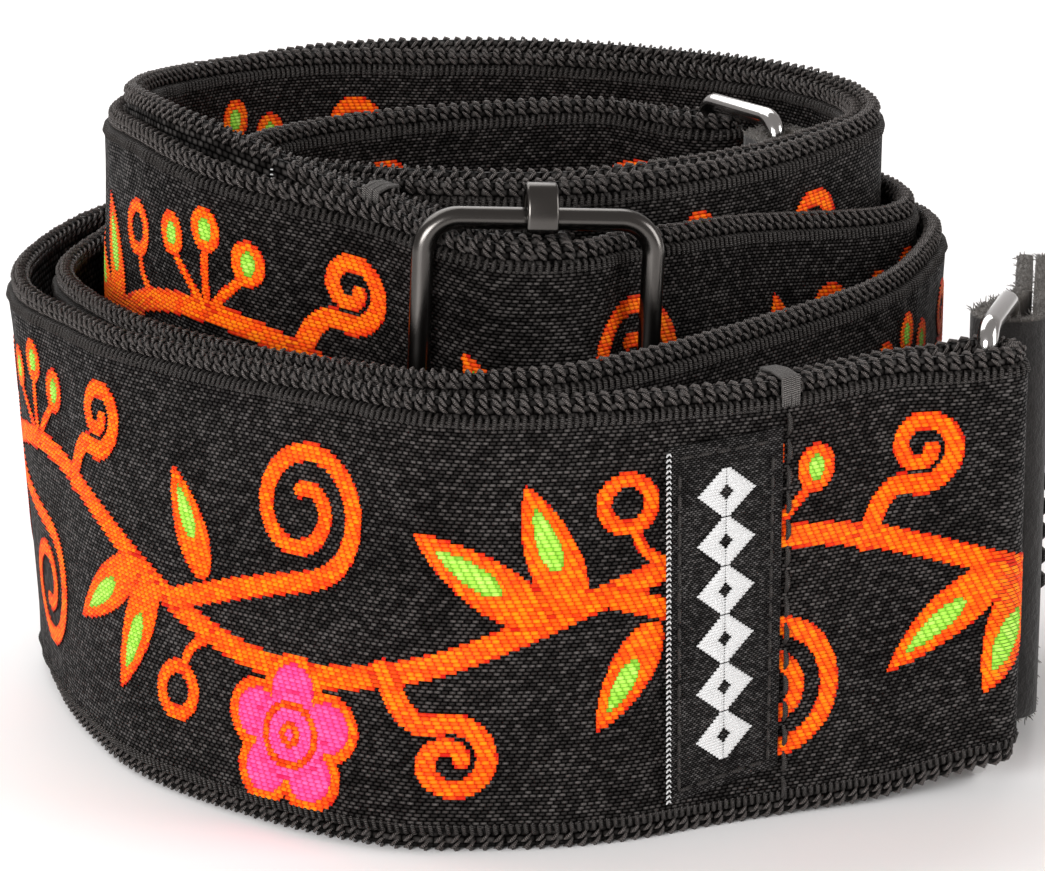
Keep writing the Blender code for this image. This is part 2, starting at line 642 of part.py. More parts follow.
def make_tab(name, long_layer, side, middle, pivot, leather, thread):
    """A leather strip folded round a ring's bar. The long layer's route ends at the loop, the
    side says which way the loop turns, and the middle is the height of the strip's middle."""
    pitch = LEATHER + CLEARANCE
    back = loop_back(long_layer, TAB_LOOP_RADIUS, pitch, TAB_BLEND, TAB_SHORT_LAYER, side)
    reach = lengths_along(long_layer)[-1]
    rounded = stretch(long_layer, 0.0, TONGUE_WIDTH / 2)
    rest = stretch(long_layer, TONGUE_WIDTH / 2, reach)
    ends = thin_out(rounded, step=1.6 * MM)
    route = np.vstack([ends, thin_out(np.vstack([rest, back]), step=6.0 * MM)])
    route = drop_close_points(route, 0.5 * MM)
    distance = lengths_along(route)
    half = []
    for along in distance:
        from_loop = reach - along
        half.append(tab_half_width(from_loop) if from_loop > 0 else TAB_WIDTH / 2)
    half = np.array(half)
    item = sweep_strip(name, route, -LEATHER / 2, LEATHER / 2, middle - half, middle + half,
                       leather)
    place, heading, normal = frame_at(long_layer, HOLE_TO_END)
    heading, normal = Vector((*heading, 0)), Vector((*normal, 0))
    centre = Vector((place[0], place[1], middle))
    up = Vector((0, 0, 1))
    rim = []
    for k in range(16):
        angle = 2 * math.pi * k / 16
        rim.append(heading * (math.cos(angle) * BUTTON_HOLE / 2)
                   + up * (math.sin(angle) * BUTTON_HOLE / 2))
    vertices = [centre + spot - normal * 3 * MM for spot in rim]
    vertices += [centre + spot + normal * 3 * MM for spot in rim]
    faces = [tuple(range(16)), tuple(range(31, 15, -1))]
    faces += [(k, (k + 1) % 16, 16 + (k + 1) % 16, 16 + k) for k in range(16)]
    cut_away(item, name + "_hole_cutter", vertices, faces, leather)
    width, length = BUTTON_SLIT
    vertices = []
    for across in (-3 * MM, 3 * MM):
        for along in (0.0, BUTTON_HOLE / 2 + length):
            for height in (-width / 2, width / 2):
                vertices.append(centre + normal * across + heading * along + up * height)
    faces = [(0, 1, 3, 2), (4, 6, 7, 5), (0, 4, 5, 1), (2, 3, 7, 6), (0, 2, 6, 4), (1, 5, 7, 3)]
    cut_away(item, name + "_slit_cutter", vertices, faces, leather)
    low = middle - TAB_SEAM_LENGTH / 2
    face = -side * (LEATHER / 2 + CLEARANCE)
    seam = tuple(sorted((face, face - side * THREAD)))
    box_on_route(name + "_seam", long_layer, reach - TAB_SEAM_DISTANCE, seam, THREAD_ROW,
                 (low, low + TAB_SEAM_LENGTH), thread)
    return centre


def straight_route(start, heading, length, height):
    count = int(length / ROUTE_STEP)
    shares = np.linspace(0.0, length, count + 1)
    points = np.array(start) + np.outer(shares, heading)
    return np.hstack([points, np.full((count + 1, 1), height), np.zeros((count + 1, 2))])


def build():
    clear_scene()
    cloth = make_material("black_webbing", (0.02, 0.019, 0.02), 0.85)
    ribbon_cloth = make_material("jacquard_ribbon", (0.9, 0.25, 0.03), 0.7)
    label_cloth = make_material("black_satin", (0.03, 0.03, 0.032), 0.5)
    thread = make_material("black_thread", (0.05, 0.05, 0.05), 0.6)
    ring_metal = make_material("nickel", (0.75, 0.75, 0.76), 0.15, 1.0)
    dark_metal = make_material("black_steel", (0.06, 0.06, 0.06), 0.3, 1.0)
    leather = make_material("grey_leather", (0.16, 0.155, 0.15), 0.8)

    routes = strap_routes()
    main = routes["main"]
    outer_plan = loop_centre(main[::-1], RING_LOOP_RADIUS, -1)
    inner_plan = loop_centre(main, RING_LOOP_RADIUS, 1)
    outer_pivot = Vector((*outer_plan, main[0, 2] - WEBBING_WIDTH / 2))
    inner_pivot = Vector((*inner_plan, main[-1, 2] - WEBBING_WIDTH / 2))
    make_strap(routes, (outer_plan, inner_plan), cloth, ribbon_cloth, thread)
    make_loop_sewing(routes, thread)
    make_label(routes, label_cloth, thread)

    outer_far = make_ring("outer_ring", outer_pivot, OUTER_RING_HEADING, ring_metal)
    inner_far = make_ring("inner_ring", inner_pivot, INNER_RING_HEADING, ring_metal)

    heading = Vector((math.cos(OUTER_TAB_HEADING), math.sin(OUTER_TAB_HEADING)))
    outside = Vector((heading.y, -heading.x))
    start = outer_far.xy + outside * TAB_LOOP_RADIUS + heading * TAB_LENGTH
    route = straight_route(start, -heading, TAB_LENGTH, 0.0)
    make_tab("outer_tab", route, 1, outer_far.z, outer_far, leather, thread)

    route = lean_inwards(smooth_curve([(x * MM, y * MM, 0.0, 0.0) for x, y in INNER_TAB_ROUTE]))
    route[:, :2] -= np.array(ROLL_CENTRE)
    make_tab("inner_tab", route, -1, inner_far.z, inner_far, leather, thread)

    slider_top = SLIDER_PASS[len(SLIDER_PASS) // 2][2] * MM
    make_slider(slider_top - WEBBING_WIDTH / 2, dark_metal, dark_metal)


build()
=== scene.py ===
"""How the rolled guitar strap looks: woven webbing with a jacquard ribbon, rings, slider and tabs.

The strap's route is worked out as in the CAD, and every woven part is laid on it: chained
selvages, a puckered ribbon, raised pattern threads, stitches and frayed ends. Metres, +Z up.
"""
import math

import bpy
import numpy as np
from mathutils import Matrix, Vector

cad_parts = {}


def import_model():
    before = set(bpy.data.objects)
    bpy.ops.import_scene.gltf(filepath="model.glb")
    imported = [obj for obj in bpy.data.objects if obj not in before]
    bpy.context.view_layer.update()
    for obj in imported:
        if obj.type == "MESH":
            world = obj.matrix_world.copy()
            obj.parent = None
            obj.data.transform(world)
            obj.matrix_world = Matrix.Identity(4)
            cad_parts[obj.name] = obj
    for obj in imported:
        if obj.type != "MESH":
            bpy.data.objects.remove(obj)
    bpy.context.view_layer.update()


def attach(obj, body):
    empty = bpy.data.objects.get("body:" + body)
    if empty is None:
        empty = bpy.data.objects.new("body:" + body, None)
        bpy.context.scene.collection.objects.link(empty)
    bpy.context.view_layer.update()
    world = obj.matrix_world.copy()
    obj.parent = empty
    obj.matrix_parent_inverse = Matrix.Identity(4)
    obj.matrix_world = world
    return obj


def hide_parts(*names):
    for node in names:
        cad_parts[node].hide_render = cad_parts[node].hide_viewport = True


MM = 0.001
CLEARANCE = 0.3 * MM
ROUTE_STEP = 0.5 * MM
LOOP_STATION = 8.0 * MM

WEBBING_WIDTH = 50.8 * MM
WEBBING_THICKNESS = 1.5 * MM
RIBBON_WIDTH = 46.0 * MM
RIBBON_THICKNESS = 0.6 * MM
STRAND_GAP = 0.4 * MM
RIBBON_INSET = 1.0 * MM

RING_WIRE = 2.4 * MM
RING_DEPTH = 17.0 * MM
RING_CORNER = 2.4 * MM
LOOP_PINCH = 0.85 * MM
PINCH_LENGTH = 10.0 * MM
RING_LOOP_RADIUS = 3.2 * MM
LOOP_BLEND = 15.0 * MM
OUTER_LOOP_LENGTH = 29.0 * MM
OUTER_SEAM_DISTANCE = 26.4 * MM

SLIDER_WIRE = 2.6 * MM
SLIDER_HALF_WIDTH = 13.2 * MM
SLIDER_OPENING = 52.6 * MM
SLIDER_CORNER = 4.0 * MM
SLIDER_PLACE = Vector((0.8, 27.5)) * MM
SLIDER_TURN = math.radians(8.0)
SLIDER_LEAN = math.radians(2.5)
BAR_WIDTH = 3.6 * MM
BAR_THICKNESS = 1.0 * MM
BAR_BACK = SLIDER_WIRE / 2 + CLEARANCE + BAR_THICKNESS / 2
BAR_CURL = math.radians(205.0)
BAR_LOOP_RADIUS = 1.65 * MM
BAR_LOOP_REACH = 4.0 * MM
BAR_LOOP_SPREAD = 1.85 * MM
BAR_SPREAD_LENGTH = 22.0 * MM
END_STRAND_LENGTH = 34.0 * MM
END_BLEND = 14.0 * MM
END_CLOSING = 25.0 * MM

LEATHER = 2.0 * MM
TAB_WIDTH = 48.6 * MM
TONGUE_WIDTH = 30.0 * MM
TAB_LOOP_RADIUS = 3.6 * MM
TAB_BLEND = 15.0 * MM
TAB_SHORT_LAYER = 34.0 * MM
TAB_SHOULDER = (33.0 * MM, 45.0 * MM)
TAB_SEAM_DISTANCE = 30.0 * MM
TAB_SEAM_LENGTH = 36.0 * MM
BUTTON_HOLE = 8.0 * MM
BUTTON_SLIT = (2.0 * MM, 9.0 * MM)
HOLE_TO_END = 15.0 * MM

LABEL_WIDTH = 13.7 * MM
LABEL_HEIGHT = 41.4 * MM
LABEL_THICKNESS = 0.4 * MM
# The label's lower and upper edge heights at the side near the seam, then at its far side.
LABEL_CORNERS = ((6.5, 45.6), (4.05, 44.5))
LABEL_DISTANCE = 27.3 * MM

ROLL_CENTRE = Vector((3.22, 64.79)) * MM

# The main strand's route from the outer ring to the slider, and from the slider to the inner ring:
# x and y of the webbing's middle, the height of its upper edge and how far that edge leans in
# over the lower one, in millimetres.
OUTER_TURNS = (
    (53.0, 18.9, 53.0, 0.0), (47.6, 17.6, 52.4, 1.2), (42.5, 16.6, 51.8, 2.4),
    (29.2, 10.8, 51.0, 0.0), (20.0, 7.1, 50.8, 0.3), (10.9, 3.3, 50.8, 1.6), (4.0, 1.5, 50.8, 2.0),
    (-4.0, 0.8, 50.8, 2.2), (-10.2, 1.5, 50.8, 3.8), (-16.4, 4.3, 50.8, 5.4),
    (-21.9, 8.1, 50.8, 6.6), (-28.0, 12.8, 50.8, 6.7), (-34.6, 18.4, 50.8, 6.2),
    (-43.6, 28.2, 50.8, 4.5), (-49.0, 36.4, 50.8, 1.8), (-53.7, 46.2, 50.8, 0.2),
    (-58.0, 56.5, 50.8, -2.5), (-60.3, 65.0, 50.8, -3.0), (-61.0, 76.5, 51.0, -3.0),
    (-59.6, 88.0, 51.4, -2.4), (-57.2, 97.0, 51.9, -1.6), (-52.0, 107.0, 52.5, -0.8),
    (-33.5, 121.8, 53.0, 0.0), (-11.0, 129.4, 53.8, 0.0),
    (10.0, 127.8, 54.4, 0.0), (27.3, 120.2, 54.8, 0.0), (40.8, 107.4, 55.0, 0.0),
    (49.5, 92.5, 55.0, 0.0), (51.8, 80.0, 55.0, 0.0), (49.4, 66.5, 54.6, 0.0),
    (43.3, 50.0, 54.1, 0.0), (33.0, 35.0, 53.8, 0.0), (22.6, 22.4, 53.6, 0.5),
    (13.2, 11.9, 53.4, 1.4), (5.4, 6.0, 53.2, 2.0), (-3.0, 3.9, 52.9, 2.2),
    (-9.6, 4.6, 52.6, 3.8), (-15.0, 7.2, 52.2, 5.4), (-20.1, 10.7, 51.9, 6.6),
    (-26.1, 15.4, 51.7, 6.7), (-32.5, 20.8, 51.5, 6.2), (-41.3, 30.6, 51.5, 4.5),
    (-46.3, 38.6, 51.7, 1.8), (-50.4, 48.4, 51.7, -0.2), (-53.3, 57.0, 51.6, -1.5),
    (-55.4, 66.0, 51.6, -2.0), (-55.4, 75.0, 51.8, -2.0), (-53.3, 84.0, 52.4, -1.5),
    (-50.5, 94.0, 53.6, -0.8), (-45.4, 105.2, 55.8, 0.0), (-31.0, 119.0, 57.2, 0.0),
    (-11.0, 126.3, 58.2, 0.0), (9.0, 124.6, 58.8, 0.0), (24.5, 117.2, 59.1, 0.0),
    (36.7, 105.4, 59.1, 0.0), (45.2, 92.5, 58.8, 0.0), (48.2, 82.0, 58.5, 0.0),
    (47.6, 75.0, 58.2, 0.0),
    (43.5, 68.4, 58.5, 0.0), (34.0, 57.9, 60.0, 0.0), (25.1, 48.0, 61.5, 0.0),
    (18.2, 39.8, 62.2, 0.0),
)
# Through the slider, along and across it, measured from the middle of its frame.
SLIDER_PASS = (
    (13.2, 5.3, 62.5), (9.7, 2.2, 62.7), (6.6, -1.0, 62.8), (3.6, -2.5, 62.9),
    (0.0, -2.7, 62.9), (-3.6, -2.2, 63.1), (-6.6, -0.7, 63.5), (-9.8, 1.9, 64.2),
    (-13.2, 5.3, 65.0),
)
INNER_TURNS = (
    (-18.5, 34.2, 66.1, 0.0), (-25.8, 37.4, 67.2, 0.0), (-37.2, 45.2, 69.0, 0.5),
    (-46.6, 60.0, 70.5, 1.5), (-51.0, 74.0, 70.2, 1.5), (-50.0, 85.0, 70.2, 0.8),
    (-45.6, 97.5, 70.4, 0.0), (-29.6, 115.6, 71.5, 0.0), (-10.0, 122.7, 71.6, 0.0),
    (9.0, 121.0, 71.4, 0.0), (25.5, 112.7, 71.1, 0.0), (37.7, 100.0, 70.9, 0.0),
    (43.5, 87.0, 70.1, 0.0), (43.2, 77.0, 69.4, 0.0), (38.9, 69.2, 68.8, 0.0),
    (33.0, 62.1, 68.0, 0.0), (20.4, 49.4, 67.5, 0.0), (4.4, 42.6, 67.0, 0.0),
    (-11.9, 43.0, 67.0, 0.0), (-23.0, 47.6, 66.8, 0.0), (-31.5, 54.6, 66.5, 0.0),
    (-36.0, 63.0, 66.2, 0.0), (-35.0, 73.0, 66.0, 0.0), (-29.0, 83.0, 66.0, 0.0),
    (-18.0, 91.5, 66.2, 0.0), (-4.0, 96.5, 66.5, 0.0), (11.0, 98.5, 66.8, 0.0),
    (24.0, 98.5, 66.8, 0.0),
)
# How much higher the returning strand lies than the main one, by its distance from the slider's
# bar, in millimetres. It comes down to the main strand's height at the ring.
RETURN_LIFT = (
    (0.0, 0.3), (14.0, 0.3), (24.0, 0.9), (35.0, 2.2), (45.0, 3.0), (64.0, 3.0), (84.0, 2.4),
    (110.0, 0.4), (135.0, -1.4), (172.0, -1.4), (202.0, -0.8), (240.0, 0.4), (290.0, 1.0),
)
RETURN_FADE = 30.0 * MM
INNER_TAB_ROUTE = (
    (-15.0, 53.4), (0.0, 54.9), (15.0, 56.4), (22.0, 59.0), (28.4, 64.2), (33.2, 70.4),
    (35.6, 76.0), (36.1, 80.5),
)
OUTER_TAB_HEADING = math.radians(82.0)
OUTER_RING_HEADING = math.radians(74.5)
INNER_RING_HEADING = math.radians(-62.0)
TAB_LENGTH = 66.0 * MM
CAMERA_PLACE = (-ROLL_CENTRE.x, -402.2 * MM - ROLL_CENTRE.y, 149.4 * MM)
CAMERA_PITCH = 14.3
CAMERA_LENS = 133.5

SEAM_LOW = 2.5 * MM
SEAM_HIGH = 48.0 * MM
STITCH_PITCH = 3.0 * MM
SLIDER_TACK_DISTANCE = 20.0 * MM
SLIDER_SEAM_DISTANCE = 26.0 * MM
CORE_EDGE = 0.9 * MM
CORE_HALF = 0.72 * MM
CORE_TIP = (0.5 * MM, 0.45 * MM)
CHAIN_PITCH = 1.5 * MM
RIB_PITCH = 0.8 * MM
PUCKER_HEIGHT = 0.3 * MM
PUCKER_REACH = 4.0 * MM
PUCKER_WAVE = 7.4 * MM
FLOAT_LENGTH = 0.9 * MM
FLOAT_ROW = 0.44 * MM
FLOAT_HEIGHT = 0.16 * MM
RIM_DEPTH = 0.45


# Routes: an array with a row for each point: x, y, the height of the upper edge, and the x and y
# from the lower edge to the upper one.


def smooth_curve(stations, step=ROUTE_STEP):
    """A natural cubic spline through the stations, read at an even step."""
    points = np.array(stations, dtype=float)
    spans = np.linalg.norm(np.diff(points[:, :2], axis=0), axis=1)
    knots = np.concatenate([[0.0], np.cumsum(spans)])
    count = len(knots)
    matrix = np.eye(count)
    sides = np.zeros_like(points)
    for i in range(1, count - 1):
        before, after = spans[i - 1], spans[i]
        matrix[i, i - 1 : i + 2] = before, 2 * (before + after), after
        slopes = (points[i + 1] - points[i]) / after - (points[i] - points[i - 1]) / before
        sides[i] = 6 * slopes
    bend = np.linalg.solve(matrix, sides)
    places = np.linspace(0.0, knots[-1], max(2, int(knots[-1] / step)))
    result = []
    for place in places:
        i = min(int(np.searchsorted(knots, place, side="right")) - 1, count - 2)
        span = spans[i]
        left = (knots[i + 1] - place) / span
        right = (place - knots[i]) / span
        curve = ((left**3 - left) * bend[i] + (right**3 - right) * bend[i + 1]) * span**2 / 6
        result.append(left * points[i] + right * points[i + 1] + curve)
    return np.array(result)


def lengths_along(route):
    steps = np.linalg.norm(np.diff(route[:, :2], axis=0), axis=1)
    return np.concatenate([[0.0], np.cumsum(steps)])


def right_normals(route):
    """Unit vectors to the right of the direction of travel."""
    heading = np.gradient(route[:, :2], axis=0)
    heading /= np.linalg.norm(heading, axis=1)[:, None]
    return np.stack([heading[:, 1], -heading[:, 0]], axis=1)


def lean_inwards(route):
    """Each row's lean to the right, as the x and y from the lower edge to the upper one."""
    return np.hstack([route[:, :3], route[:, 3:] * right_normals(route)])


def smooth_step(value):
    value = np.clip(value, 0.0, 1.0)
    return value * value * (3 - 2 * value)


def loop_centre(route, radius, side):
    return route[-1, :2] + side * radius * right_normals(route)[-1]


def loop_back(route, radius, pitch, blend, length, side):
    """The half circle that turns back from the route's end, then the strand that returns beside
    the route, a pitch away once the loop has closed up. A side of 1 turns right, -1 turns left.
    The pitch is one length, or one for each of the route's points."""
    normal = side * right_normals(route)[-1]
    forward = np.array([-side * normal[1], side * normal[0]])
    centre = loop_centre(route, radius, side)
    arc = []
    for angle in np.linspace(0.0, math.pi, 25)[1:]:
        spot = centre - radius * math.cos(angle) * normal + radius * math.sin(angle) * forward
        arc.append((*spot, *route[-1, 2:]))
    distance = lengths_along(route)
    distance = distance[-1] - distance
    offset = pitch + (2 * radius - pitch) * smooth_step(1 - distance / blend)
    beside = route.copy()
    beside[:, :2] += side * offset[:, None] * right_normals(route)
    kept = beside[(distance <= length) & (distance > LOOP_STATION / 2)][::-1]
    every = int(LOOP_STATION / ROUTE_STEP)
    return smooth_curve(np.vstack([np.array(arc), kept[::every], kept[-1:]]))


def drop_close_points(route, least):
    kept = [route[0]]
    for point in route[1:]:
        if np.linalg.norm(point[:2] - kept[-1][:2]) > least:
            kept.append(point)
    return np.array(kept)


def slider_point(along, across):
    """A plan point from the slider frame's own axes."""
    u = Vector((math.cos(SLIDER_TURN), math.sin(SLIDER_TURN)))
    v = Vector((-math.sin(SLIDER_TURN), math.cos(SLIDER_TURN)))
    return SLIDER_PLACE + u * along + v * across


def strap_routes():
    """The main strand, the whole webbing and its stretches, centred on the roll."""
    stations = [tuple(value * MM for value in row) for row in OUTER_TURNS]
    for along, across, top in SLIDER_PASS:
        stations.append((*slider_point(along * MM, across * MM), top * MM, 0.0))
    stations += [tuple(value * MM for value in row) for row in INNER_TURNS]
    main = lean_inwards(smooth_curve(stations))
    main[:, 2] = np.maximum(main[:, 2], WEBBING_WIDTH)
    main[:, :2] -= np.array(ROLL_CENTRE)
    bonded = WEBBING_THICKNESS + STRAND_GAP

    outer_back = loop_back(main[::-1], RING_LOOP_RADIUS, bonded, LOOP_BLEND, OUTER_LOOP_LENGTH, -1)

    bar_stop = np.array(slider_point(BAR_LOOP_REACH, 0.0) - ROLL_CENTRE)
    turn_point = int(np.argmin(np.linalg.norm(main[:, :2] - bar_stop, axis=1)))
    doubled = main[turn_point:]
    from_bar = lengths_along(doubled)
    end_room = WEBBING_THICKNESS + RIBBON_THICKNESS + 2 * CLEARANCE
    past_end = from_bar - END_STRAND_LENGTH - LOOP_STATION
    apart = bonded + end_room * (1 - smooth_step(past_end / END_CLOSING))
    apart += BAR_LOOP_SPREAD * (1 - smooth_step(from_bar / BAR_SPREAD_LENGTH))
    returning = loop_back(doubled, RING_LOOP_RADIUS, apart, LOOP_BLEND, from_bar[-1], 1)
    from_ring = lengths_along(returning)
    places, rises = np.array(RETURN_LIFT).T * MM
    lift = np.interp(from_ring[-1] - from_ring, places, rises)
    returning[:, 2] += lift * smooth_step(from_ring / RETURN_FADE)
    end = loop_back(returning, BAR_LOOP_RADIUS, bonded, END_BLEND, END_STRAND_LENGTH, 1)
    whole = np.vstack([outer_back[::-1], main, returning, end])
    return {"main": main, "outer_back": outer_back, "returning": returning, "end": end,
            "whole": whole}


def half_widths(route, centres):
    """Half the webbing's width, drawn in where it is gathered in a ring."""
    half = np.full(len(route), WEBBING_WIDTH / 2)
    for centre in centres:
        distance = np.linalg.norm(route[:, :2] - centre, axis=1)
        near = smooth_step(1 - (distance - RING_LOOP_RADIUS) / PINCH_LENGTH)
        half = half - LOOP_PINCH * near
    return half


# The strap's surface: everything woven is placed by its distance along the strap, its height
# above the lower edge and how far it stands out on the ribbon's side.

RIBBON_LOW = (WEBBING_WIDTH - RIBBON_WIDTH) / 2
RIBBON_HIGH = WEBBING_WIDTH - RIBBON_LOW
RIBBON_OUT = 1.45 * MM
COLUMN_STEP = 1.2 * MM
COLUMN_TURN = math.radians(6.0)
random = np.random.default_rng(11)


class Strap:
    """The whole webbing from its cut end behind the label to the cut end beside the slider."""

    def __init__(self, route, ring_centres):
        self.route = drop_close_points(route, 0.15 * MM)
        self.normals = right_normals(self.route)
        self.distance = lengths_along(self.route)
        self.half = half_widths(self.route, ring_centres)
        self.length = self.distance[-1]
        turned = np.abs(np.diff(np.unwrap(np.arctan2(self.normals[:, 1], self.normals[:, 0]))))
        effort = np.diff(self.distance) / COLUMN_STEP + turned / COLUMN_TURN
        self.effort = np.concatenate([[0.0], np.cumsum(effort)])

    def columns(self, start, end):
        """Distances from start to end, closer together where the strap bends."""
        low, high = np.interp([start, end], self.distance, self.effort)
        efforts = np.linspace(low, high, max(3, int(high - low) + 2))
        return np.interp(efforts, self.effort, self.distance)

    def outward(self, along):
        """Unit vectors out of the ribbon's face."""
        x, y = (np.interp(along, self.distance, column) for column in self.normals.T)
        size = np.hypot(x, y)
        return np.stack([-x / size, -y / size, np.zeros_like(x)], axis=-1)

    def spots(self, along, high, out):
        along, high, out = np.broadcast_arrays(along, high, out)
        x, y, top, lean_x, lean_y = (
            np.interp(along, self.distance, column) for column in self.route.T
        )
        half = np.interp(along, self.distance, self.half)
        rise = (2 * high / WEBBING_WIDTH - 1) * half
        share = rise / WEBBING_WIDTH
        away = self.outward(along) * out[..., None]
        place = np.stack(
            [x + lean_x * share, y + lean_y * share, top - WEBBING_WIDTH / 2 + rise], axis=-1
        )
        return place + away


def pucker(along, high):
    """How far the ribbon is drawn up in small waves along its two sewn edges."""
    near = np.exp(-(((high - RIBBON_LOW) / PUCKER_REACH) ** 2))
    near = near + np.exp(-(((RIBBON_HIGH - high) / PUCKER_REACH) ** 2))
    wave = np.sin(2 * math.pi * along / PUCKER_WAVE + 1.7 * np.sin(along / (9.0 * MM)))
    strength = 0.6 + 0.4 * np.sin(along / (15.0 * MM) + 1.0)
    return PUCKER_HEIGHT * near * strength * (0.5 + 0.5 * wave)


# Meshes.


def mesh_object(name, points, faces, uv, material, body, smooth=True):
    """An object of quads that rides on a CAD body and takes a material slot."""
    mesh = bpy.data.meshes.new(name)
    mesh.vertices.add(len(points))
    mesh.vertices.foreach_set("co", np.asarray(points, dtype=np.float32).ravel())
    mesh.loops.add(faces.size)
    mesh.loops.foreach_set("vertex_index", faces.astype(np.int32).ravel())
    mesh.polygons.add(len(faces))
    mesh.polygons.foreach_set("loop_start", np.arange(0, faces.size, 4, dtype=np.int32))
    mesh.update(calc_edges=True)
    layer = mesh.uv_layers.new(name="Cloth")
    layer.data.foreach_set("uv", np.asarray(uv, dtype=np.float32)[faces.ravel()].ravel())
    if smooth:
        mesh.shade_smooth()
    mesh.materials.append(material)
    item = bpy.data.objects.new(name, mesh)
    bpy.context.scene.collection.objects.link(item)
    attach(item, body)
    return item


def grid_faces(rows, columns):
    index = np.arange(rows * columns).reshape(rows, columns)
    corners = [index[:-1, :-1], index[1:, :-1], index[1:, 1:], index[:-1, 1:]]
    return np.stack(corners, axis=-1).reshape(-1, 4)


def band(name, strap, start, end, profile, material, lift=None):
    """A closed strip on the strap with a cross-section of (height, out) points."""
    along = strap.columns(start, end)
    high, out = np.array(profile).T
    raised = np.broadcast_to(out, (len(along), len(out)))
    if lift is not None:
        raised = raised + (out > 1.0 * MM) * lift(along[:, None], high)
    points = strap.spots(along[:, None], high, raised)
    girth = np.concatenate([[0.0], np.cumsum(np.hypot(np.diff(high), np.diff(out)))])
    uv = np.stack(np.broadcast_arrays(along[:, None] / MM, girth / MM), axis=-1)
    index = np.arange(raised.size).reshape(raised.shape)
    turned = np.roll(index, -1, axis=1)
    faces = np.stack([index[:-1], turned[:-1], turned[1:], index[1:]], axis=-1).reshape(-1, 4)
    caps = [faces]
    for row, order in ((index[0], 1), (index[-1], -1)):
        pairs = np.stack([row[:-1], row[::-1][:-1], row[::-1][1:], row[1:]], axis=-1)
        caps.append(pairs[: len(row) // 2 - 1, ::order])
    return mesh_object(name, points.reshape(-1, 3), np.concatenate(caps), uv.reshape(-1, 2),
                       material, "strap")


def yarns(name, centres, side, radius, material, body, sides=6):
    """Short threads: for each, the points down its middle, with a radius at each point."""
    count, stations = centres.shape[:2]
    tangent = np.gradient(centres, axis=1)
    tangent /= np.linalg.norm(tangent, axis=2, keepdims=True)
    first = np.broadcast_to(side, centres.shape)
    first = first - np.sum(first * tangent, axis=2, keepdims=True) * tangent
    first /= np.maximum(np.linalg.norm(first, axis=2, keepdims=True), 1e-9)
    second = np.cross(tangent, first)
    angle = 2 * math.pi * np.arange(sides) / sides
    size = np.broadcast_to(radius, (count, stations))[:, :, None, None]
    around = (np.cos(angle)[:, None] * first[:, :, None]
              + np.sin(angle)[:, None] * second[:, :, None])
    points = centres[:, :, None] + size * around
    index = np.arange(count * stations * sides).reshape(count, stations, sides)
    turned = np.roll(index, -1, axis=2)
    faces = np.stack([index[:, :-1], turned[:, :-1], turned[:, 1:], index[:, 1:]], axis=-1)
    length = np.linalg.norm(np.diff(centres, axis=1), axis=2)
    along = np.concatenate([np.zeros((count, 1)), np.cumsum(length, axis=1)], axis=1) / MM
    along = along + 3.7 * np.arange(count)[:, None]
    uv = np.stack(np.broadcast_arrays(along[:, :, None], np.arange(sides) / sides), axis=-1)
    return mesh_object(name, points.reshape(-1, 3), faces.reshape(-1, 4), uv.reshape(-1, 2),
                       material, body)


def threads_on(strap, starts, shape, upper):
    """The middles of like threads at places along the strap. The shape is a list of (along,
    height, out), and the height counts up from the lower edge or down from the upper one."""
    along, high, out = np.array(shape).T * MM
    if upper:
        high = WEBBING_WIDTH - high
    places = np.asarray(starts)[:, None] + along
    places = np.clip(places, 0.0, strap.length)
    return strap.spots(places, high, out), strap.outward(places)


# Materials.


